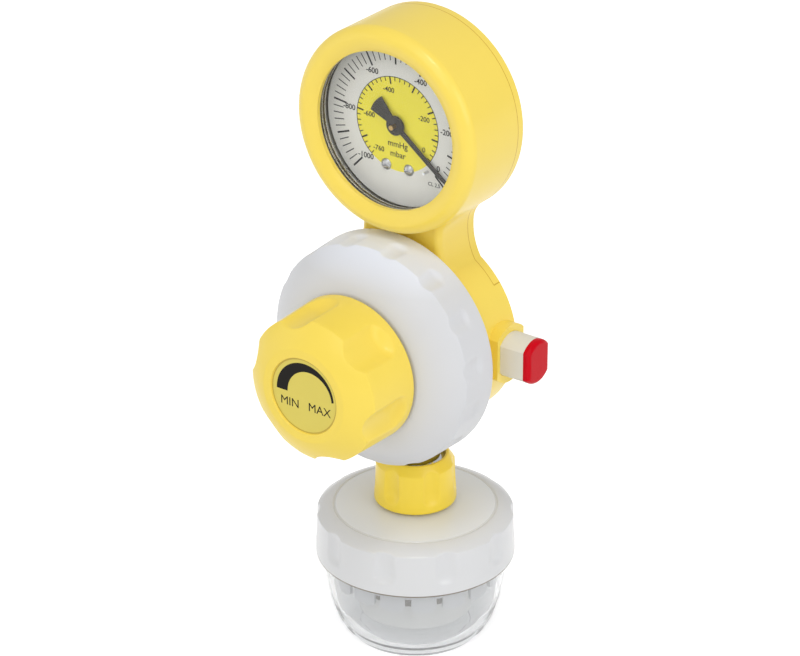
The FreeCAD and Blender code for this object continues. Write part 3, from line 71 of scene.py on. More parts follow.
# Places and radii on the part, in millimetres
FRONT_AXIS = Vector((0, 0, 0))
JAR_AXIS = Vector((0, -12, 0))
JAR_FOOT = -122.65
CAMERA_TARGET = Vector((0, -24, 0))
COVER_SEAM = -3.6
COVER_STEP = 22
LID_FLAT = -74
LID_GROOVE = 29.8
LID_RIM = -90.5
CUP_RADIUS = 22
CUP_SHADE = -103.4
TABS_RADIUS = 24
TABS_START = -95.5
LABEL_SEAT = 76.8
LABEL_FACE = 76.9
LABEL_RADIUS = 14.15
DISC_RADIUS = 17.5
TICKS_RADIUS = 27.7

# The share of their drop that the cage's tabs lose
TABS_SHARE = 0.42

# Printing as (text, across, up, height) in millimetres, and the dial's angles in degrees
DIAL_START = -43.5
DIAL_SWEEP = 270
INNER_SWEEP = 273.6
INNER_MAJOR_SWEEP = 252
LINE_END = 230.1
DIAL_NUMBERS = (
    ("-400", 10.0, 18.2, 2.1), ("-600", -10.7, 17.8, 2.1), ("-200", 21.0, 2.0, 2.1),
    ("-800", -20.8, 1.9, 2.1), ("-1000", -13.7, -14.8, 2.1), ("0", 17.5, -12.3, 2.1),
    ("-400", -3.65, 12.3, 1.9), ("-200", 11.4, 4.8, 1.9), ("-600", -12.1, 1.2, 1.9),
    ("-760", -8.05, -10.7, 1.9), ("0", 11.3, -6.7, 1.9),
)
DIAL_UNITS = (("mmHg", 0.2, -7.8, 2.3), ("mbar", 0.3, -11.2, 2.3), ("CL 2,5", 15.7, -18.85, 1.4))
LABEL_WORDS = (("MIN", -6.4, -4.0, 3.3), ("MAX", 6.7, -3.6, 3.3))

# The studio: light from the room, from the floor, and lamps as (name, place, width, power)
ROOM_LIGHT = 0.62
FLOOR_TONE = 0.9
FLOOR_GLOW = 0.5
SHADOW_LET_THROUGH = 0.85
LAMPS = (
    ("key", (0.25, -1.1, 0.95), 0.8, 2.8),
    ("side", (1.25, -0.35, 0.55), 0.8, 3.7),
    ("left", (-1.1, -0.8, 0.3), 0.8, 1.3),
    ("top", (0.4, -0.5, 1.3), 0.3, 2.8),
)
LAMPS_AIM = Vector((0, -0.03, 0))

TO_FRONT = Matrix(((1, 0, 0, 0), (0, 0, -1, 0), (0, 1, 0, 0), (0, 0, 0, 1)))
UPRIGHT = Matrix.Identity(4)


def srgb(red, green, blue):
    """A colour as an eye reads it, from 0 to 255, in linear light."""
    def linear(value):
        value /= 255
        return value / 12.92 if value <= 0.04045 else ((value + 0.055) / 1.055) ** 2.4
    return (linear(red), linear(green), linear(blue), 1.0)


def colour_choice(name, what, default):
    return bpy.props.FloatVectorProperty(
        name=name, description=what, subtype="COLOR", size=4, min=0, max=1, default=default
    )


def size_choice(name, what, millimetres):
    return bpy.props.FloatProperty(name=name, description=what, unit="LENGTH", default=millimetres * MM)


class RegulatorColours(bpy.types.PropertyGroup):
    yellow: colour_choice("Yellow", "Body, knob and nut", srgb(251, 222, 90))
    white: colour_choice("White", "Bonnet, lid and cage", srgb(221, 222, 224))
    cream: colour_choice("Cream", "Push bar", srgb(227, 225, 217))
    red: colour_choice("Red", "Right end of the bar", srgb(205, 0, 24))
    green: colour_choice("Green", "Left end of the bar", srgb(22, 118, 58))
    dial: colour_choice("Dial", "Outer part of the dial", srgb(217, 215, 208))
    disc: colour_choice("Dial disc", "Inner part of the dial", srgb(231, 217, 34))
    label: colour_choice("Label", "Disc in the knob", srgb(224, 206, 88))
    ink: colour_choice("Ink", "Printing on dial and label", srgb(26, 23, 20))


class RegulatorSizes(bpy.types.PropertyGroup):
    mould_edge: size_choice("Mould edge", "Rounding of the moulded edges", 0.6)
    print_lift: size_choice("Print lift", "How far printing stands off its face", 0.03)
    minor_tick: size_choice("Minor tick", "Length of a short tick", 4.3)
    major_tick: size_choice("Major tick", "Length of a long tick", 5.5)
    turns: bpy.props.IntProperty(name="Turns", description="Faces round a turned piece", default=360, min=24)


class RegulatorStage(bpy.types.PropertyGroup):
    azimuth: bpy.props.FloatProperty(
        name="Azimuth", description="Camera round the object", subtype="ANGLE", default=math.radians(36.44))
    elevation: bpy.props.FloatProperty(
        name="Elevation", description="Camera above level", subtype="ANGLE", default=math.radians(26.32))
    roll: bpy.props.FloatProperty(
        name="Roll", description="Camera's tilt", subtype="ANGLE", default=math.radians(-0.23))
    distance: size_choice("Distance", "Camera from its target", 1161.55)
    across: size_choice("Across", "Target to the right", 1.71)
    above: size_choice("Above", "Target upwards", 4.51)
    lens: bpy.props.FloatProperty(
        name="Lens", description="Focal length in millimetres of a 36 mm sensor", default=146.386)


def colours():
    return bpy.context.scene.regulator_colours


def sizes():
    return bpy.context.scene.regulator_sizes


# Shader groups

def new_group(name, inputs, outputs):
    """A shader node group with named inputs (name, kind, default) and outputs (name, kind)."""
    group = bpy.data.node_groups.new(name, "ShaderNodeTree")
    for label, kind, default in inputs:
        socket = group.interface.new_socket(label, in_out="INPUT", socket_type="NodeSocket" + kind)
        socket.default_value = default
    for label, kind in outputs:
        group.interface.new_socket(label, in_out="OUTPUT", socket_type="NodeSocket" + kind)
    return group, group.nodes.new("NodeGroupInput"), group.nodes.new("NodeGroupOutput")


def add_node(tree, kind, links=(), **values):
    """A node with its settings and the sockets that feed it, as {input: socket or value}."""
    node = tree.nodes.new(kind)
    for key, value in values.items():
        setattr(node, key, value)
    for key, source in dict(links).items():
        socket = node.inputs[key]
        if isinstance(source, bpy.types.NodeSocket):
            tree.links.new(source, socket)
        else:
            socket.default_value = source
    return node


def maths(tree, operation, *sources):
    return add_node(tree, "ShaderNodeMath", dict(enumerate(sources)), operation=operation).outputs[0]


def object_place(tree):
    return add_node(tree, "ShaderNodeTexCoord").outputs["Object"]


def noise(tree, place, scale, detail, **more):
    sources = {"Vector": place, "Scale": scale, "Detail": detail, **more}
    return add_node(tree, "ShaderNodeTexNoise", sources).outputs["Fac"]


def bumped(tree, strength, depth, height):
    sources = {"Strength": strength, "Distance": depth, "Height": height}
    return add_node(tree, "ShaderNodeBump", sources).outputs["Normal"]


def distance(tree, first, second):
    """How far a place is from an axis, from its two offsets."""
    squares = (maths(tree, "MULTIPLY", side, side) for side in (first, second))
    return maths(tree, "SQRT", maths(tree, "ADD", *squares))


def moulding_group():
    """Fine grain, slow unevenness and handling marks of a moulded plastic."""
    group, given, result = new_group(
        "moulded surface",
        [("Colour", "Color", (1, 1, 1, 1)), ("Mottle", "Float", 0.03), ("Gloss", "Float", 0.3),
         ("Wear", "Float", 0.08), ("Grain", "Float", 0.1)],
        [("Colour", "Color"), ("Roughness", "Float"), ("Normal", "Vector")],
    )
    place = object_place(group)
    slow = noise(group, place, 60, 3)
    marks = noise(group, place, 420, 6, Roughness=0.7)
    grain = noise(group, place, 2600, 2)
    uneven = maths(group, "SUBTRACT", slow, 0.5)
    shade = maths(group, "MULTIPLY_ADD", uneven, given.outputs["Mottle"], 1.0)
    toned = add_node(group, "ShaderNodeHueSaturation", {"Value": shade, "Color": given.outputs["Colour"]})
    rough = maths(group, "MULTIPLY_ADD", marks, given.outputs["Wear"], given.outputs["Gloss"])
    height = maths(group, "MULTIPLY_ADD", slow, 2.0, grain)
    normal = bumped(group, given.outputs["Grain"], 0.00006, height)
    group.links.new(toned.outputs["Color"], result.inputs["Colour"])
    group.links.new(rough, result.inputs["Roughness"])
    group.links.new(normal, result.inputs["Normal"])
    return group


def metal_group():
    """Fine turning lines and a slightly uneven polish."""
    group, given, result = new_group(
        "worked metal",
        [("Polish", "Float", 0.15), ("Lines", "Float", 0.15), ("Fineness", "Float", 2500.0)],
        [("Roughness", "Float"), ("Normal", "Vector")],
    )
    place = object_place(group)
    cloud = noise(group, place, 300, 4)
    fine = noise(group, place, given.outputs["Fineness"], 3)
    rough = maths(group, "MULTIPLY_ADD", cloud, 0.12, given.outputs["Polish"])
    group.links.new(rough, result.inputs["Roughness"])
    group.links.new(bumped(group, given.outputs["Lines"], 0.00002, fine), result.inputs["Normal"])
    return group


def shaded(name, **values):
    """A material with one Principled BSDF whose plain sockets are set directly."""
    material = bpy.data.materials.new(name)
    material.use_nodes = True
    shader = material.node_tree.nodes["Principled BSDF"]
    for key, value in values.items():
        shader.inputs[key.replace("_", " ")].default_value = value
    return material, material.node_tree, shader


def line_group():
    """A thin line where one coordinate passes a place, kept to where another is above a limit."""
    group, given, result = new_group(
        "thin line", [("Across", "Float", 0.0), ("Place", "Float", 0.0), ("Width", "Float", 0.0003),
                      ("Beside", "Float", 0.0), ("Above", "Float", -1.0)],
        [("Mask", "Float")])
    place = {name: given.outputs[name] for name in ("Across", "Place", "Width", "Beside", "Above")}
    away = maths(group, "ABSOLUTE", maths(group, "SUBTRACT", place["Across"], place["Place"]))
    near = maths(group, "LESS_THAN", away, maths(group, "MULTIPLY", place["Width"], 0.5))
    kept = maths(group, "GREATER_THAN", place["Beside"], place["Above"])
    group.links.new(maths(group, "MULTIPLY", near, kept), result.inputs["Mask"])
    return group


def moulded(name, colour, gloss=0.3, wear=0.08, grain=0.1, mottle=0.04, **values):
    material, tree, shader = shaded(name, **values)
    surface = add_node(tree, "ShaderNodeGroup", node_tree=bpy.data.node_groups["moulded surface"])
    given = {"Colour": colour, "Mottle": mottle, "Gloss": gloss, "Wear": wear, "Grain": grain}
    for key, value in given.items():
        surface.inputs[key].default_value = value
    for output, socket in (("Colour", "Base Color"), ("Roughness", "Roughness"), ("Normal", "Normal")):
        tree.links.new(surface.outputs[output], shader.inputs[socket])
    return material


def coordinates(tree):
    return add_node(tree, "ShaderNodeSeparateXYZ", {0: object_place(tree)}).outputs


def about_jar(tree):
    """A place's distance from the jar's axis, and its height."""
    x, y, z = coordinates(tree)
    return distance(tree, x, maths(tree, "SUBTRACT", y, JAR_AXIS.y * MM)), z


def tinted(material, mask, colour):
    """Lay another colour over a finished material where a mask is 1."""
    tree = material.node_tree
    socket = tree.nodes["Principled BSDF"].inputs["Base Color"]
    under = socket.links[0].from_socket
    mixed = add_node(tree, "ShaderNodeMix", {"Factor": mask, 6: under, 7: colour}, data_type="RGBA")
    tree.links.new(mixed.outputs[2], socket)
    return material


def thin_line(tree, across, place, width, beside=None, above=-1.0):
    """The mask of the thin line group, with its sizes in millimetres."""
    group = add_node(tree, "ShaderNodeGroup", node_tree=bpy.data.node_groups["thin line"])
    tree.links.new(across, group.inputs["Across"])
    if beside is not None:
        tree.links.new(beside, group.inputs["Beside"])
    for key, value in (("Place", place * MM), ("Width", width * MM), ("Above", above * MM)):
        group.inputs[key].default_value = value
    return group.outputs["Mask"]


def body_plastic(colour):
    """The yellow plastic of the body, with the line of its back cover down to the step in its side."""
    material = moulded("yellow body", colour, 0.34, 0.10, Coat_Weight=0.25, Coat_Roughness=0.15)
    tree = material.node_tree
    _, y, z = coordinates(tree)
    width = 0.34
    seam = thin_line(tree, y, COVER_SEAM, width, z, COVER_STEP)
    step = thin_line(tree, z, COVER_STEP, width, y, COVER_SEAM)
    return tinted(material, maths(tree, "MAXIMUM", seam, step), srgb(214, 172, 30))


def bonnet_plastic():
    """The bonnet's white plastic, with painted light that makes it a little cooler and lighter towards its
    top.
    """
    material = moulded("bonnet plastic", srgb(216, 217, 220), 0.4, 0.10, mottle=0.02, Coat_Weight=0.1)
    tree = material.node_tree
    height = coordinates(tree)[2]
    # Painted light: towards the top the colour turns lighter and cooler, to offset the yellow light that the
    # body above throws on it.
    rise = add_node(tree, "ShaderNodeMapRange", {"Value": height, "From Min": 0.03, "From Max": 0.042})
    return tinted(material, rise.outputs["Result"], srgb(232, 236, 246))


def label_sheet(colour):
    """The label's sheet, in shade along its rim."""
    material = moulded("label", colour, 0.36, 0.06, 0.05, 0.03)
    tree = material.node_tree
    x, _, z = coordinates(tree)
    return tinted(material, thin_line(tree, distance(tree, x, z), 14.0, 0.7), srgb(196, 170, 56))


def lid_plastic(colour):
    """The lid's white plastic: painted light on its flat top, painted shade in the groove round it, and
    painted shadow in the gap under the rim.
    """
    material = moulded("lid plastic", colour, 0.26, 0.10, mottle=0.02, Coat_Weight=0.3, Coat_Roughness=0.1)
    tree = material.node_tree
    radius, height = about_jar(tree)
    # Painted light: the flat top is tinted lighter, to lift it out of the shade of the bonnet and knob
    # above.
    tinted(material, thin_line(tree, radius, 15, 29.6, height, LID_FLAT), srgb(232, 235, 240))
    # Painted shade: a faint darker ring in the small groove round the flat top.
    tinted(material, thin_line(tree, radius, LID_GROOVE, 0.7, height, LID_FLAT), srgb(217, 217, 216))
    # Painted shadow: a dark brown-grey line in the gap under the lid's rim.
    return tinted(material, thin_line(tree, height, LID_RIM, 1.0), srgb(128, 118, 102))


def cage_plastic(colour):
    """The cage's white plastic, a little darker on its cup and in deep shade at the cup's top."""
    material = moulded("cage plastic", colour, 0.4, 0.10, mottle=0.02)
    tree = material.node_tree
    radius, height = about_jar(tree)
    inner = maths(tree, "LESS_THAN", radius, CUP_RADIUS * MM)
    high = maths(tree, "GREATER_THAN", height, CUP_SHADE * MM)
    tinted(material, inner, srgb(224, 224, 222))
    return tinted(material, maths(tree, "MULTIPLY", inner, high), srgb(120, 112, 98))


def rolled_ring():
    """Bright metal with rolled beads round it, with painted shade darkening its colour in their hollows."""
    material = metal("rolled ring", srgb(214, 214, 216), 0.06, 0.1)
    tree = material.node_tree
    shader = tree.nodes["Principled BSDF"]
    along, radians_per_metre = coordinates(tree)[1], 3600.0
    wave = maths(tree, "SINE", maths(tree, "MULTIPLY", along, radians_per_metre))
    shade = add_node(tree, "ShaderNodeMapRange", {"Value": wave, "From Min": -0.25, "From Max": 0.6})
    # Painted shade: the colour turns dark brown-grey in the hollows of the beads.
    mixed = add_node(tree, "ShaderNodeMix", {
        "Factor": shade.outputs["Result"], 6: srgb(122, 111, 94), 7: srgb(222, 222, 220)}, data_type="RGBA")
    tree.links.new(mixed.outputs[2], shader.inputs["Base Color"])
    tree.links.new(bumped(tree, 0.6, 0.0003, wave), shader.inputs["Normal"])
    return material


def metal(name, colour, polish=0.15, lines=0.15):
    material, tree, shader = shaded(name, Base_Color=colour, Metallic=1.0)
    surface = add_node(tree, "ShaderNodeGroup", node_tree=bpy.data.node_groups["worked metal"])
    surface.inputs["Polish"].default_value = polish
    surface.inputs["Lines"].default_value = lines
    tree.links.new(surface.outputs["Roughness"], shader.inputs["Roughness"])
    tree.links.new(surface.outputs["Normal"], shader.inputs["Normal"])
    return material


def clear(name, tint, bend, waves, clearness=1.0, haze=0.02, **values):
    """A clear plastic whose faces are faintly wavy."""
    material, tree, shader = shaded(
        name, Base_Color=tint, IOR=bend, Transmission_Weight=clearness, **values)
    slow = noise(tree, object_place(tree), 70, 2)
    tree.links.new(maths(tree, "MULTIPLY", slow, haze), shader.inputs["Roughness"])
    tree.links.new(bumped(tree, waves, 0.0002, slow), shader.inputs["Normal"])
    shadow = add_node(tree, "ShaderNodeLightPath").outputs["Is Shadow Ray"]
    tree.links.new(maths(tree, "MULTIPLY_ADD", shadow, -SHADOW_LET_THROUGH, 1.0), shader.inputs["Alpha"])
    return material


def floor_paper():
    """Pale paper that shows as the white backdrop and keeps the object's shadow."""
    material, tree, shader = shaded("floor paper", Roughness=1.0)
    fibre = noise(tree, object_place(tree), 900, 3)
    tone = maths(tree, "MULTIPLY_ADD", fibre, 0.01, FLOOR_TONE)
    tree.links.new(tone, shader.inputs["Base Color"])
    shader.inputs["Specular IOR Level"].default_value = 0.0
    path = add_node(tree, "ShaderNodeLightPath").outputs
    seen = maths(tree, "MAXIMUM", maths(tree, "MAXIMUM", path["Is Camera Ray"], path["Is Glossy Ray"]),
                 path["Is Transmission Ray"])
    tree.links.new(maths(tree, "MULTIPLY", seen, FLOOR_GLOW), shader.inputs["Emission Strength"])
    shader.inputs["Emission Color"].default_value = (1, 1, 1, 1)
    return material


def studio_world(scene):
    """An even pale room that shows white to the camera and through glass, and dimmer in metal."""
    world = bpy.data.worlds.new("studio")
    world.use_nodes = True
    scene.world = world
    tree = world.node_tree
    tree.nodes.clear()
    path = add_node(tree, "ShaderNodeLightPath").outputs
    seen = maths(tree, "MAXIMUM", path["Is Camera Ray"], path["Is Transmission Ray"])
    strength = maths(tree, "MULTIPLY_ADD", seen, 1 - ROOM_LIGHT, ROOM_LIGHT)
    light = add_node(tree, "ShaderNodeBackground", {"Color": (1, 1, 1, 1), "Strength": strength})
    output = add_node(tree, "ShaderNodeOutputWorld")
    tree.links.new(light.outputs["Background"], output.inputs["Surface"])


def make_materials():
    moulding_group()
    metal_group()
    line_group()
    chosen = colours()
    return {
        "yellow_plastic": moulded(
            "yellow plastic", chosen.yellow, 0.34, 0.10, Coat_Weight=0.1, Specular_IOR_Level=0.35),
        "yellow_body": body_plastic(chosen.yellow),
        # Painted shade: the nut's yellow is deeper than the body's, to offset the white light thrown onto it
        # by the white parts round it.
        "yellow_nut": moulded(
            "yellow nut", srgb(255, 223, 62), 0.3, 0.10, Coat_Weight=0.17, Coat_Roughness=0.1),
        "rolled_ring": rolled_ring(),
        "grey_rubber": moulded("grey rubber", srgb(120, 116, 106), 0.6, 0.1, 0.3, 0.1),
        "white_plastic": moulded(
            "white plastic", chosen.white, 0.26, 0.10, mottle=0.02, Coat_Weight=0.3, Coat_Roughness=0.1),
        "bonnet_plastic": bonnet_plastic(),
        "lid_plastic": lid_plastic(chosen.white),
        "cage_plastic": cage_plastic(chosen.white),
        "cream_plastic": moulded("cream plastic", chosen.cream, 0.38),
        "red_plastic": moulded("red plastic", chosen.red, 0.2, 0.05, Specular_IOR_Level=0.1),
        "green_plastic": moulded("green plastic", chosen.green, 0.2, 0.05, Specular_IOR_Level=0.2),
        "dial_face": moulded("dial enamel", chosen.dial, 0.42, 0.05, 0.05, 0.02),
        "dial_disc": moulded("dial disc", chosen.disc, 0.42, 0.05, 0.05, 0.03),
        "label_face": label_sheet(chosen.label),
        "ink": moulded(
            "printing ink", chosen.ink, 0.6, 0.05, 0.05, 0.05, Specular_IOR_Level=0.15),
        "black_paint": moulded(
            "pointer paint", srgb(50, 46, 40), 0.5, 0.1, 0.2, 0.05, Specular_IOR_Level=0.25),
        "black_rubber": moulded("rubber", srgb(34, 34, 34), 0.7, 0.1, 0.4, 0.1),
        "chrome_metal": metal("chrome", srgb(214, 214, 216), 0.02, 0.05),
        "brass_metal": metal("brass", srgb(178, 148, 92), 0.3, 0.2),
        "steel_metal": metal("steel", srgb(176, 176, 178), 0.22, 0.2),
        "clear_jar": clear("clear jar", srgb(234, 235, 236), 1.12, 0.05, 0.84, Coat_Weight=0.4),
        "clear_window": clear("clear window", srgb(252, 253, 253), 1.3, 0.0, haze=0.0),
    }


MATERIALS = {}


# Pieces

def keep_piece(obj, body, slot, replaces=(), material=None):
    """Give a finished piece its finish and its body, and hide the nodes that it stands for."""
    obj.data.materials.clear()
    obj.data.materials.append(MATERIALS[material or slot])
    for polygon in obj.data.polygons:
        polygon.material_index = 0
    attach(obj, body)
    if replaces:
        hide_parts(*replaces)
    return obj


def linked(name, data):
    obj = bpy.data.objects.new(name, data)
    bpy.context.scene.collection.objects.link(obj)
    return obj


def made_plain(obj, name):
    """The evaluated object as a plain mesh without modifiers."""
    evaluated = obj.evaluated_get(bpy.context.evaluated_depsgraph_get())
    mesh = bpy.data.meshes.new_from_object(evaluated)
    obj.modifiers.clear()
    old = obj.data
    obj.data = mesh
    mesh.name = name
    bpy.data.meshes.remove(old)
    return obj


def smoothed(node, rounding=0.0):
    """A copy of a CAD node, merged and shaded smooth, with its sharp edges rounded by some millimetres."""
    mesh = NODES[node].data.copy()
    bm = bmesh.new()
    bm.from_mesh(mesh)
    bmesh.ops.remove_doubles(bm, verts=bm.verts, dist=0.000004)
    bmesh.ops.dissolve_degenerate(bm, edges=bm.edges, dist=0.000002)
    for edge in bm.edges:
        edge.smooth = edge.is_manifold and edge.calc_face_angle(0) < math.radians(SMOOTH_ANGLE)
    for face in bm.faces:
        face.smooth = True
    bm.to_mesh(mesh)
    bm.free()
    if "custom_normal" in mesh.attributes:
        mesh.attributes.remove(mesh.attributes["custom_normal"])
    obj = linked(node + "_piece", mesh)
    if rounding:
        bevel = obj.modifiers.new("edges", "BEVEL")
        bevel.width = rounding * MM
        bevel.segments = 2
        bevel.limit_method = "ANGLE"
        bevel.angle_limit = math.radians(45)
        bevel.use_clamp_overlap = True
        bevel.harden_normals = True
    weighted = obj.modifiers.new("even", "WEIGHTED_NORMAL")
    weighted.keep_sharp = True
    weighted.weight = 100
    return made_plain(obj, node + "_piece")


def arc(start, finish, radius, side, steps=12):
    """Points on the short arc after its start; its centre is left (1) or right (-1) of the way."""
    start, finish = Vector(start), Vector(finish)
    chord = finish - start
    across = Vector((-chord.y, chord.x)).normalized() * side
    centre = (start + finish) / 2 + across * math.sqrt(max(radius ** 2 - (chord.length / 2) ** 2, 0))
    first = math.atan2(start.y - centre.y, start.x - centre.x)
    last = math.atan2(finish.y - centre.y, finish.x - centre.x)
    turn = (last - first + math.pi) % (2 * math.pi) - math.pi
    return [
        (centre.x + radius * math.cos(first + turn * i / steps),
         centre.y + radius * math.sin(first + turn * i / steps))
        for i in range(1, steps + 1)
    ]


def rounded_outline(points, edge, step):
    """A closed outline in millimetres with its sharp corners rounded and its long runs divided."""
    points = [Vector(p[:2]) for p in points]
    count = len(points)
    line = []
    for i, point in enumerate(points):
        before = points[i - 1] - point
        after = points[(i + 1) % count] - point
        turn = math.pi - before.angle(after)
        reach = min(edge * math.tan(turn / 2), before.length * 0.45, after.length * 0.45)
        if turn < math.radians(LEAST_CORNER) or reach < 0.02:
            line.append(point)
            continue
        first, last = point + before.normalized() * reach, point + after.normalized() * reach
        for k in range(5):
            t = k / 4
            line.append(first * (1 - t) ** 2 + point * 2 * t * (1 - t) + last * t ** 2)
    dense = []
    for start, finish in zip(line, line[1:] + line[:1]):
        parts = max(1, int(math.ceil((finish - start).length / step)))
        dense.extend(start.lerp(finish, k / parts) for k in range(parts))
    return dense


def turned_mesh(name, points, edge=None, step=1.2):
    """A mesh turned about the local Z axis from (radius, height) points in millimetres."""
    edge = sizes().mould_edge / MM if edge is None else edge
    turns = sizes().turns
    line = rounded_outline(points, edge, step)
    verts, rings = [], []
    for point in line:
        if point.x < 0.001:
            rings.append([len(verts)])
            verts.append((0, 0, point.y * MM))
            continue
        rings.append(list(range(len(verts), len(verts) + turns)))
        for k in range(turns):
            angle = 2 * math.pi * k / turns
            verts.append((point.x * MM * math.cos(angle), point.x * MM * math.sin(angle), point.y * MM))
    faces = []
    for low, high in zip(rings, rings[1:] + rings[:1]):
        for k in range(turns):
            following = (k + 1) % turns
            if len(low) > 1 and len(high) > 1:
                faces.append((low[k], low[following], high[following], high[k]))
            elif len(low) > 1:
                faces.append((low[k], low[following], high[0]))
            elif len(high) > 1:
                faces.append((low[0], high[following], high[k]))
    mesh = bpy.data.meshes.new(name)
    mesh.from_pydata(verts, [], faces)
    bm = bmesh.new()
    bm.from_mesh(mesh)
    bmesh.ops.recalc_face_normals(bm, faces=bm.faces)
    for face in bm.faces:
        face.smooth = True
    bm.to_mesh(mesh)
    bm.free()
    return mesh


def stand(obj, axis, way):
    """Put a piece made about the local Z axis in its place, in its mesh."""
    obj.data.transform(Matrix.Translation(axis * MM) @ way)
    obj.data.update()
    return obj


# Geometry Nodes

def new_tree(name, inputs):
    """A geometry node tree with a geometry input and output and named inputs."""
    tree = bpy.data.node_groups.new(name, "GeometryNodeTree")
    tree.interface.new_socket("Geometry", in_out="INPUT", socket_type="NodeSocketGeometry")
    for label, kind, default in inputs:
        socket = tree.interface.new_socket(label, in_out="INPUT", socket_type="NodeSocket" + kind)
        if default is not None:
            socket.default_value = default
    tree.interface.new_socket("Geometry", in_out="OUTPUT", socket_type="NodeSocketGeometry")
    return tree, tree.nodes.new("NodeGroupInput"), tree.nodes.new("NodeGroupOutput")


def finish_tree(tree, given, result, geometry):
    plain = add_node(tree, "GeometryNodeRealizeInstances", {"Geometry": geometry}).outputs["Geometry"]
    coloured = add_node(
        tree, "GeometryNodeSetMaterial", {"Geometry": plain, "Material": given.outputs["Material"]})
    tree.links.new(coloured.outputs["Geometry"], result.inputs["Geometry"])
    return tree


def flutes_tree():
    """Cuts evenly spaced flutes into a turned piece, each the mark of a round cutter beside its axis."""
    tree, given, result = new_tree("flutes", [
        ("Flutes", "Int", 10), ("First Flute", "Float", 0.0), ("Cutter Radius", "Float", 0.01),
        ("Cutter Distance", "Float", 0.04), ("Top", "Float", 0.1), ("Bottom", "Float", 0.0),
        ("End Curve", "Float", 0.002), ("Softness", "Float", 0.0005), ("Material", "Material", None),
    ])
    position = add_node(tree, "GeometryNodeInputPosition").outputs[0]
    parts = add_node(tree, "ShaderNodeSeparateXYZ", {0: position}).outputs
    radius = distance(tree, parts[0], parts[1])
    angle = maths(
        tree, "SUBTRACT", maths(tree, "ARCTAN2", parts[1], parts[0]), given.outputs["First Flute"])
    half = maths(tree, "DIVIDE", math.pi, given.outputs["Flutes"])
    offset = maths(tree, "WRAP", angle, half, maths(tree, "MULTIPLY", half, -1.0))
    away = given.outputs["Cutter Distance"]
    aside = maths(tree, "MULTIPLY", away, maths(tree, "SINE", offset))
    reach = maths(tree, "SUBTRACT", maths(
        tree, "MULTIPLY", given.outputs["Cutter Radius"], given.outputs["Cutter Radius"]),
        maths(tree, "MULTIPLY", aside, aside))
    root = maths(tree, "SQRT", maths(tree, "MAXIMUM", reach, 0.0))
    cut = maths(tree, "SUBTRACT", maths(tree, "MULTIPLY", away, maths(tree, "COSINE", offset)), root)
    over = maths(tree, "ADD", maths(
        tree, "MAXIMUM", maths(tree, "SUBTRACT", parts[2], given.outputs["Top"]), 0.0),
        maths(tree, "MAXIMUM", maths(tree, "SUBTRACT", given.outputs["Bottom"], parts[2]), 0.0))
    rise = maths(tree, "DIVIDE", maths(tree, "MULTIPLY", over, over), given.outputs["End Curve"])
    limit = maths(tree, "ADD", cut, rise)
    kept = maths(tree, "SMOOTH_MIN", radius, limit, given.outputs["Softness"])
    share = maths(tree, "DIVIDE", kept, maths(tree, "MAXIMUM", radius, 0.00001))
    placed = add_node(tree, "ShaderNodeCombineXYZ", {
        0: maths(tree, "MULTIPLY", parts[0], share), 1: maths(tree, "MULTIPLY", parts[1], share),
        2: parts[2]})
    moved = add_node(tree, "GeometryNodeSetPosition", {
        "Geometry": given.outputs["Geometry"], "Position": placed.outputs[0]})
    return finish_tree(tree, given, result, moved.outputs["Geometry"])


def ticks_tree():
    """Lays even tick marks along an arc, each a thin bar that points at the arc's centre."""
    tree, given, result = new_tree("ticks", [
        ("Ticks", "Int", 11), ("First Angle", "Float", 0.0), ("Sweep", "Float", 1.0),
        ("Outer Radius", "Float", 0.02), ("Length", "Float", 0.003), ("Width", "Float", 0.0003),
        ("Thickness", "Float", 0.00003), ("Material", "Material", None),
    ])
    length, width = given.outputs["Length"], given.outputs["Width"]
    bar = add_node(tree, "GeometryNodeMeshCube", {"Size": add_node(
        tree, "ShaderNodeCombineXYZ", {0: length, 1: width, 2: given.outputs["Thickness"]}).outputs[0]})
    middle = maths(tree, "SUBTRACT", given.outputs["Outer Radius"], maths(tree, "MULTIPLY", length, 0.5))
    start = add_node(tree, "ShaderNodeCombineXYZ", {0: middle}).outputs[0]
    shifted = add_node(
        tree, "GeometryNodeTransform", {"Geometry": bar.outputs["Mesh"], "Translation": start})
    spots = add_node(
        tree, "GeometryNodeMeshLine", {"Count": given.outputs["Ticks"], "Offset": (0, 0, 0)})
    number = add_node(tree, "GeometryNodeInputIndex").outputs[0]
    last = maths(tree, "MAXIMUM", maths(tree, "SUBTRACT", given.outputs["Ticks"], 1.0), 1.0)
    angle = maths(tree, "MULTIPLY_ADD", maths(tree, "DIVIDE", number, last), given.outputs["Sweep"],
                  given.outputs["First Angle"])
    turn = add_node(tree, "ShaderNodeCombineXYZ", {2: angle}).outputs[0]
    bars = add_node(tree, "GeometryNodeInstanceOnPoints", {
        "Points": spots.outputs["Mesh"], "Instance": shifted.outputs["Geometry"], "Rotation": turn})
    return finish_tree(tree, given, result, bars.outputs["Instances"])


def grown(name, mesh, tree_name, material, **values):
    """An object whose mesh a geometry node tree has worked on, made plain."""
    obj = linked(name, mesh)
    modifier = obj.modifiers.new(tree_name, "NODES")
    tree = bpy.data.node_groups[tree_name]
    wanted = {key.replace("_", " "): value for key, value in values.items()}
    wanted["Material"] = MATERIALS[material]
    modifier.node_group = tree
    for item in tree.interface.items_tree:
        if item.in_out == "INPUT" and item.name in wanted:
            modifier[item.identifier] = wanted.pop(item.name)
    if wanted:
        raise RuntimeError(f"{tree_name} has no input {sorted(wanted)}")
    return made_plain(obj, name)


def fluted(name, points, axis, way, material, **values):
    mesh = turned_mesh(name, points, step=0.7)
    obj = grown(name, mesh, "flutes", material, **values)
    for polygon in obj.data.polygons:
        polygon.use_smooth = True
    return stand(obj, axis, way)


# Flat shapes and lettering

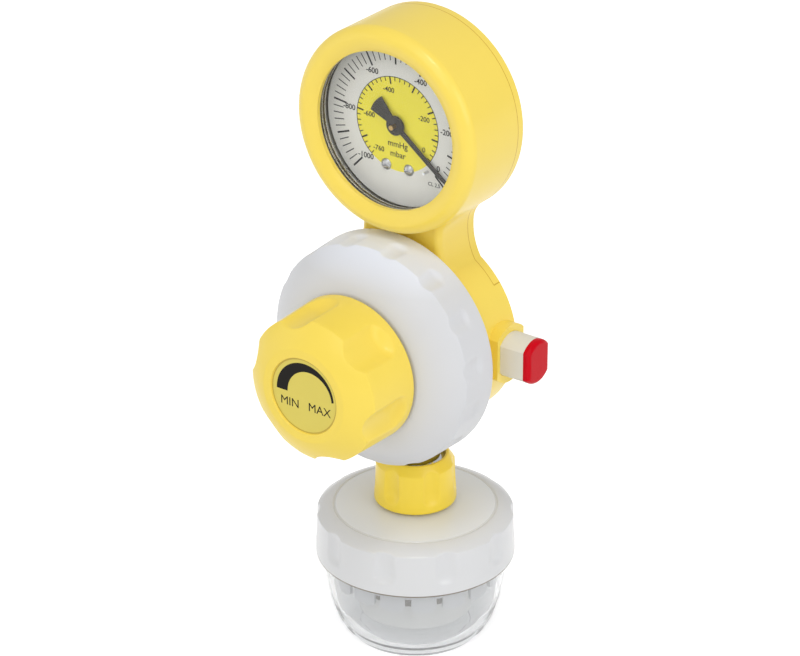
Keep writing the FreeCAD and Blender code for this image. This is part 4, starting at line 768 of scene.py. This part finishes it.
def circle_points(radius, centre=(0, 0), first=0.0, last=360.0, steps=240):
    """Points on an arc in millimetres, with its ends in degrees."""
    spread = (math.radians(first + (last - first) * i / steps) for i in range(steps + 1))
    return [(centre[0] + radius * math.cos(a), centre[1] + radius * math.sin(a)) for a in spread]


def slab_mesh(name, outline, low, high):
    """A thin plate in millimetres over an outline in the local XY plane."""
    bm = bmesh.new()
    under = [bm.verts.new((x * MM, y * MM, low * MM)) for x, y in outline]
    over = [bm.verts.new((x * MM, y * MM, high * MM)) for x, y in outline]
    bm.faces.new(over)
    bm.faces.new(list(reversed(under)))
    for i in range(len(outline)):
        j = (i + 1) % len(outline)
        bm.faces.new((under[i], under[j], over[j], over[i]))
    bmesh.ops.triangulate(bm, faces=[face for face in bm.faces if len(face.verts) > 4])
    bmesh.ops.recalc_face_normals(bm, faces=bm.faces)
    mesh = bpy.data.meshes.new(name)
    bm.to_mesh(mesh)
    bm.free()
    return mesh


def band_mesh(name, outer, inner, low, high):
    """A thin closed strip in millimetres between two runs of as many points."""
    bm = bmesh.new()
    rings = []
    for a, b in zip(outer, inner):
        corners = ((a, low), (b, low), (b, high), (a, high))
        rings.append([bm.verts.new((x * MM, y * MM, z * MM)) for (x, y), z in corners])
    for first, second in zip(rings, rings[1:]):
        for k in range(4):
            following = (k + 1) % 4
            bm.faces.new((first[k], first[following], second[following], second[k]))
    bm.faces.new(rings[0])
    bm.faces.new(list(reversed(rings[-1])))
    bmesh.ops.recalc_face_normals(bm, faces=bm.faces)
    mesh = bpy.data.meshes.new(name)
    bm.to_mesh(mesh)
    bm.free()
    return mesh


def lettering(name, words, high, lift, bold=0.0):
    """Words as one thin mesh; each is (text, x, y, height), in millimetres, centred on its place.
    Bold is how far its outline grows, as a share of its size."""
    joined = bmesh.new()
    for text, x, y, height in words:
        curve = bpy.data.curves.new(name, "FONT")
        curve.body = text
        curve.size = height * MM / 0.72
        curve.resolution_u = 5
        curve.offset = curve.size * bold
        curve.extrude = lift * MM / 2
        obj = linked(name + "_draft", curve)
        graph = bpy.context.evaluated_depsgraph_get()
        mesh = bpy.data.meshes.new_from_object(obj.evaluated_get(graph))
        bpy.data.objects.remove(obj)
        bpy.data.curves.remove(curve)
        across = [v.co.x for v in mesh.vertices]
        along = [v.co.y for v in mesh.vertices]
        middle = Vector(((min(across) + max(across)) / 2, (min(along) + max(along)) / 2, 0))
        mesh.transform(Matrix.Translation(Vector((x, y, high + lift / 2)) * MM - middle))
        joined.from_mesh(mesh)
        bpy.data.meshes.remove(mesh)
    bmesh.ops.remove_doubles(joined, verts=joined.verts, dist=0.0000005)
    bmesh.ops.recalc_face_normals(joined, faces=joined.faces)
    mesh = bpy.data.meshes.new(name)
    joined.to_mesh(mesh)
    joined.free()
    return mesh


def dial_centre():
    low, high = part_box("dial")
    return Vector(((low[0] + high[0]) / 2, 0, (low[2] + high[2]) / 2)) / MM


def front_of(node):
    """How far a node reaches forwards, in millimetres."""
    return -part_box(node)[0][1] / MM


# Operators

class REGULATOR_OT_finishes(bpy.types.Operator):
    """Build the finishes and give each inner part its own"""
    bl_idname = "regulator.finishes"
    bl_label = "Finishes"

    def execute(self, context):
        MATERIALS.update(make_materials())
        flutes_tree()
        ticks_tree()
        for row in frame["record"]["subparts"]:
            for slot in NODES[row["node"]].material_slots:
                slot.material = MATERIALS[row["material_slot"]]
        return {"FINISHED"}


class REGULATOR_OT_housing(bpy.types.Operator):
    """Yellow body with its back cover and the screws that hold it"""
    bl_idname = "regulator.housing"
    bl_label = "Housing"

    def execute(self, context):
        for node in ("body_housing", "rear_cover"):
            keep_piece(smoothed(node, 0.3), "regulator", "yellow_plastic", [node], "yellow_body")
        keep_piece(smoothed("cover_screws"), "regulator", "steel_metal", ["cover_screws"])
        return {"FINISHED"}


class REGULATOR_OT_fittings(bpy.types.Operator):
    """Metal spigot at the back, fitting under the body and tube into the lid"""
    bl_idname = "regulator.fittings"
    bl_label = "Fittings"

    def execute(self, context):
        for node in ("inlet_spigot", "outlet_fitting", "lid_connector"):
            keep_piece(smoothed(node), "regulator", "chrome_metal", [node])
        keep_piece(smoothed("inlet_seal"), "regulator", "black_rubber", ["inlet_seal"])
        return {"FINISHED"}


class REGULATOR_OT_bonnet(bpy.types.Operator):
    """White bonnet with its scalloped rim"""
    bl_idname = "regulator.bonnet"
    bl_label = "Bonnet"

    def execute(self, context):
        points = [(38.9, 24), (42.7, 24), (42.1, 38.9)] + arc((42.1, 38.9), (27.5, 48.7), 26, 1, 24)
        points += [(14, 49), (14, 69), (6.6, 69), (6.6, 66), (11.6, 66), (11.6, 46.2), (27.5, 46.2),
                   (32, 41), (32, 37.2), (38.9, 37.2)]
        piece = fluted(
            "bonnet_shell", points, FRONT_AXIS, TO_FRONT, "white_plastic", Flutes=15,
            First_Flute=math.radians(7.5), Cutter_Radius=9 * MM, Cutter_Distance=50.4 * MM,
            Top=100 * MM, Bottom=32.6 * MM, End_Curve=7.4 * MM, Softness=0.25 * MM)
        keep_piece(piece, "regulator", "white_plastic", ["bonnet"], "bonnet_plastic")
        return {"FINISHED"}


class REGULATOR_OT_springs(bpy.types.Operator):
    """Springs of the regulator and its valve"""
    bl_idname = "regulator.springs"
    bl_label = "Springs"

    def execute(self, context):
        for node, joint, travel in (
            ("regulation_spring", "spring_plate_slide", 6.05), ("return_spring", "diaphragm_slide", 1.25),
        ):
            piece = keep_piece(smoothed(node), "regulator", "steel_metal", [node])
            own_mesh(piece)
        return {"FINISHED"}


class REGULATOR_OT_knob(bpy.types.Operator):
    """Fluted yellow knob with its round label"""
    bl_idname = "regulator.knob"
    bl_label = "Knob"

    def execute(self, context):
        points = [(4.02, 71.4), (19, 71.4), (19.8, 50), (27.5, 50), (26.8, 72)]
        points += arc((26.8, 72), (17.5, 77.6), 26, 1, 24)
        points += [(14.3, 77.6), (14.25, LABEL_SEAT), (4.5, LABEL_SEAT), (4.5, 75), (4.02, 75)]
        piece = fluted(
            "knob_shell", points, FRONT_AXIS, TO_FRONT, "yellow_plastic", Flutes=6,
            First_Flute=math.radians(-15), Cutter_Radius=11.5 * MM, Cutter_Distance=35.4 * MM,
            Top=100 * MM, Bottom=58.6 * MM, End_Curve=6.94 * MM, Softness=0.4 * MM)
        keep_piece(piece, "knob_group", "yellow_plastic", ["knob"])
        lift, face = sizes().print_lift / MM, LABEL_FACE
        disc = slab_mesh("label_disc", circle_points(LABEL_RADIUS)[:-1], LABEL_SEAT, face)
        label = stand(linked("label_disc", disc), FRONT_AXIS, TO_FRONT)
        keep_piece(label, "knob_group", "label_face", ["knob_label"])
        outer = circle_points(12.45, (0.4, 0), 5, 180.5, 120)
        inner = circle_points(9.6, (2.3, 0), 4.5, 180.6, 120)
        crescent = linked("label_crescent", band_mesh("label_crescent", outer, inner, face, face + lift))
        marks = linked("label_words", lettering("label_words", LABEL_WORDS, face, lift))
        for obj in (crescent, marks):
            stand(obj, FRONT_AXIS, TO_FRONT)
            keep_piece(obj, "knob_group", "label_face", material="ink")
        return {"FINISHED"}


class REGULATOR_OT_bar(bpy.types.Operator):
    """Push bar with its red and green ends"""
    bl_idname = "regulator.bar"
    bl_label = "Push bar"

    def execute(self, context):
        finishes = {"on_off_bar": "cream_plastic", "red_cap": "red_plastic", "green_cap": "green_plastic"}
        for node, slot in finishes.items():
            keep_piece(smoothed(node, 0.25), "bar_group", slot, [node])
        return {"FINISHED"}


class REGULATOR_OT_gauge(bpy.types.Operator):
    """Gauge with its window, rings, dial, pointer and screws"""
    bl_idname = "regulator.gauge"
    bl_label = "Gauge"

    def execute(self, context):
        fixed = {
            "gauge_case": "steel_metal", "window_gasket": "black_rubber", "gauge_window": "clear_window",
            "gauge_ring": "chrome_metal", "dial": "dial_face", "dial_screws": "steel_metal",
            "stop_pin": "steel_metal",
        }
        finishes = {
            "gauge_ring": "rolled_ring", "window_gasket": "grey_rubber", "stop_pin": "chrome_metal",
        }
        for node, slot in fixed.items():
            keep_piece(smoothed(node), "regulator", slot, [node], finishes.get(node))
        keep_piece(smoothed("pointer"), "pointer_group", "black_paint", ["pointer"])
        keep_piece(smoothed("pointer_arbor"), "pointer_group", "brass_metal", ["pointer_arbor"])
        return {"FINISHED"}


class REGULATOR_OT_dial_print(bpy.types.Operator):
    """Coloured disc, ticks and figures printed on the dial"""
    bl_idname = "regulator.dial_print"
    bl_label = "Dial printing"

    def execute(self, context):
        size = sizes()
        face, lift = front_of("dial"), size.print_lift / MM
        centre = dial_centre()
        shape = slab_mesh("dial_disc", circle_points(DISC_RADIUS)[:-1], face, face + lift)
        disc = stand(linked("dial_disc", shape), centre, TO_FRONT)
        keep_piece(disc, "regulator", "dial_face", material="dial_disc")
        outer, inner = (
            circle_points(radius, first=DIAL_START, last=LINE_END)
            for radius in (DISC_RADIUS + 0.1, DISC_RADIUS - 0.15))
        line = linked("dial_line", band_mesh("dial_line", outer, inner, face + lift, face + 2 * lift))
        above = face + 1.5 * lift
        figures = linked("dial_figures", lettering("dial_figures", DIAL_NUMBERS, above, lift, bold=0.014))
        units = linked("dial_units", lettering("dial_units", DIAL_UNITS, above, lift, bold=0.008))
        pieces = [line, figures, units]
        for name, ticks, sweep, outer, length, width in (
            ("outer_minor_ticks", 51, DIAL_SWEEP, TICKS_RADIUS, size.minor_tick, 0.36),
            ("outer_major_ticks", 11, DIAL_SWEEP, TICKS_RADIUS, size.major_tick, 0.66),
            ("inner_minor_ticks", 39, INNER_SWEEP, DISC_RADIUS, size.minor_tick * 0.36, 0.36),
            ("inner_major_ticks", 8, INNER_MAJOR_SWEEP, DISC_RADIUS, size.major_tick * 0.5, 0.6),
        ):
            mesh = bpy.data.meshes.new(name)
            marks = grown(
                name, mesh, "ticks", "ink", Ticks=ticks, First_Angle=math.radians(DIAL_START),
                Sweep=math.radians(sweep), Outer_Radius=outer * MM, Length=length, Width=width * MM,
                Thickness=lift * MM)
            marks.data.transform(Matrix.Translation((0, 0, above * MM)))
            pieces.append(marks)
        for obj in pieces:
            stand(obj, centre, TO_FRONT)
            keep_piece(obj, "regulator", "dial_face", material="ink")
        return {"FINISHED"}


class REGULATOR_OT_nut(bpy.types.Operator):
    """Yellow union nut with its finger recesses"""
    bl_idname = "regulator.nut"
    bl_label = "Union nut"

    def execute(self, context):
        points = [(8.7, -68.6), (15.25, -68.6), (14.6, -53.4), (12.22, -50), (11.2, -50),
                  (11.2, -62.85), (8.7, -62.85)]
        piece = fluted(
            "nut_shell", points, JAR_AXIS, UPRIGHT, "yellow_plastic", Flutes=6,
            First_Flute=math.radians(30), Cutter_Radius=7 * MM, Cutter_Distance=20.6 * MM,
            Top=0, Bottom=-61 * MM, End_Curve=14 * MM, Softness=0.3 * MM)
        keep_piece(piece, "nut_group", "yellow_plastic", ["union_nut"], "yellow_nut")
        return {"FINISHED"}


class REGULATOR_OT_lid(bpy.types.Operator):
    """White jar lid with its grip flutes"""
    bl_idname = "regulator.lid"
    bl_label = "Jar lid"

    def execute(self, context):
        points = [(6.62, -68.9), (6.62, -71.3), (29.9, -73.4), (30.9, -77.4), (34.2, -77.4), (34.2, -90.7),
                  (37, -90.7), (36.45, -74.2)]
        points += arc((36.45, -74.2), (30.5, -71.5), 14, 1)
        points += [(30.2, -71.75), (29.8, -71.7), (29.5, -71.35)]
        piece = fluted(
            "lid_shell", points, JAR_AXIS, UPRIGHT, "white_plastic", Flutes=10, First_Flute=0.0,
            Cutter_Radius=8.5 * MM, Cutter_Distance=43.9 * MM, Top=0, Bottom=-83.2 * MM,
            End_Curve=6 * MM, Softness=0.15 * MM)
        keep_piece(piece, "regulator", "white_plastic", ["jar_lid"], "lid_plastic")
        keep_piece(smoothed("jar_seal"), "regulator", "black_rubber", ["jar_seal"])
        return {"FINISHED"}


class REGULATOR_OT_jar(bpy.types.Operator):
    """Clear safety jar, and the float cage inside it"""
    bl_idname = "regulator.jar"
    bl_label = "Safety jar"

    def execute(self, context):
        points = [(33.9, -78.8), (33.9, -90.9), (34.9, -91.2), (34.8, -92.4), (31.9, -108.3),
                  (31.3, -108.6)]
        points += arc((31.3, -108.6), (25, -122.6), 22, -1, 20)
        points += [(20.7, -122.6), (20.7, -121.4), (0, -121.4), (0, -119.4), (23, -119.4)]
        points += arc((23, -119.4), (29.4, -108.3), 20, 1, 20)
        points += [(31.9, -90.7), (31.9, -78.8)]
        mesh = turned_mesh("jar_shell", points, edge=0.35)
        piece = stand(linked("jar_shell", mesh), JAR_AXIS, UPRIGHT)
        keep_piece(piece, "jar_group", "clear_jar", ["jar"])
        cage = smoothed("float_cage")
        for vertex in cage.data.vertices:
            drop = TABS_START * MM - vertex.co.z
            if drop > 0 and (vertex.co - JAR_AXIS * MM).xy.length > TABS_RADIUS * MM:
                vertex.co.z += drop * TABS_SHARE
        keep_piece(cage, "regulator", "white_plastic", ["float_cage"], "cage_plastic")
        keep_piece(smoothed("float"), "float_group", "cream_plastic", ["float"])
        return {"FINISHED"}


class REGULATOR_OT_stage(bpy.types.Operator):
    """Pale floor, soft studio light and the camera"""
    bl_idname = "regulator.stage"
    bl_label = "Stage"

    def execute(self, context):
        scene = context.scene
        scene.view_settings.view_transform = "Standard"
        view = scene.regulator_stage
        floor_mesh = bpy.data.meshes.new("floor")
        reach, level = 4.0, JAR_FOOT * MM
        corners = ((-1, -1), (1, -1), (1, 1), (-1, 1))
        floor_mesh.from_pydata([(x * reach, y * reach, level) for x, y in corners], [], [(0, 1, 2, 3)])
        floor = linked("floor", floor_mesh)
        floor.data.materials.append(floor_paper())
        studio_world(scene)
        for name, place, width, power in LAMPS:
            lamp = bpy.data.lights.new(name, "AREA")
            lamp.size = width
            lamp.energy = power
            obj = bpy.data.objects.new(name, lamp)
            obj.location = place
            obj.rotation_euler = (LAMPS_AIM - Vector(place)).to_track_quat("-Z", "Y").to_euler()
            scene.collection.objects.link(obj)
        level_share = math.cos(view.elevation)
        back = Vector((math.sin(view.azimuth) * level_share, -math.cos(view.azimuth) * level_share,
                       math.sin(view.elevation)))
        right = Vector((math.cos(view.azimuth), math.sin(view.azimuth), 0))
        up = back.cross(right)
        across = right * math.cos(view.roll) + up * math.sin(view.roll)
        upward = up * math.cos(view.roll) - right * math.sin(view.roll)
        place = CAMERA_TARGET * MM + back * view.distance + across * view.across + upward * view.above
        pose = Matrix((across, upward, back)).transposed().to_4x4()
        pose.translation = place
        lens = bpy.data.cameras.new("photo view")
        lens.sensor_width = 36
        lens.lens = view.lens
        lens.clip_start = 0.01
        camera = bpy.data.objects.new("photo view", lens)
        camera.matrix_world = pose
        scene.collection.objects.link(camera)
        scene.camera = camera
        return {"FINISHED"}


OPERATORS = (
    REGULATOR_OT_finishes, REGULATOR_OT_housing, REGULATOR_OT_fittings, REGULATOR_OT_bonnet,
    REGULATOR_OT_springs, REGULATOR_OT_knob,
    REGULATOR_OT_bar, REGULATOR_OT_gauge, REGULATOR_OT_dial_print, REGULATOR_OT_nut, REGULATOR_OT_lid,
    REGULATOR_OT_jar, REGULATOR_OT_stage,
)


class REGULATOR_PT_panel(bpy.types.Panel):
    """Sizes, colours and steps of the regulator"""
    bl_idname = "REGULATOR_PT_panel"
    bl_label = "Vacuum regulator"
    bl_space_type = "VIEW_3D"
    bl_region_type = "UI"
    bl_category = "Regulator"

    def draw(self, context):
        scene = context.scene
        for group in (scene.regulator_sizes, scene.regulator_colours, scene.regulator_stage):
            box = self.layout.box()
            for key in group.bl_rna.properties.keys():
                if key not in ("rna_type", "name"):
                    box.prop(group, key)
        for operator in OPERATORS:
            self.layout.operator(operator.bl_idname)


CLASSES = (RegulatorColours, RegulatorSizes, RegulatorStage) + OPERATORS + (REGULATOR_PT_panel,)


def register():
    for item in CLASSES:
        bpy.utils.register_class(item)
    bpy.types.Scene.regulator_colours = bpy.props.PointerProperty(type=RegulatorColours)
    bpy.types.Scene.regulator_sizes = bpy.props.PointerProperty(type=RegulatorSizes)
    bpy.types.Scene.regulator_stage = bpy.props.PointerProperty(type=RegulatorStage)


def unregister():
    for key in ("regulator_colours", "regulator_sizes", "regulator_stage"):
        delattr(bpy.types.Scene, key)
    for item in reversed(CLASSES):
        bpy.utils.unregister_class(item)


def main():
    register()
    for operator in OPERATORS:
        getattr(bpy.ops.regulator, operator.bl_idname.split(".")[1])()


if __name__ == "__main__":
    main()
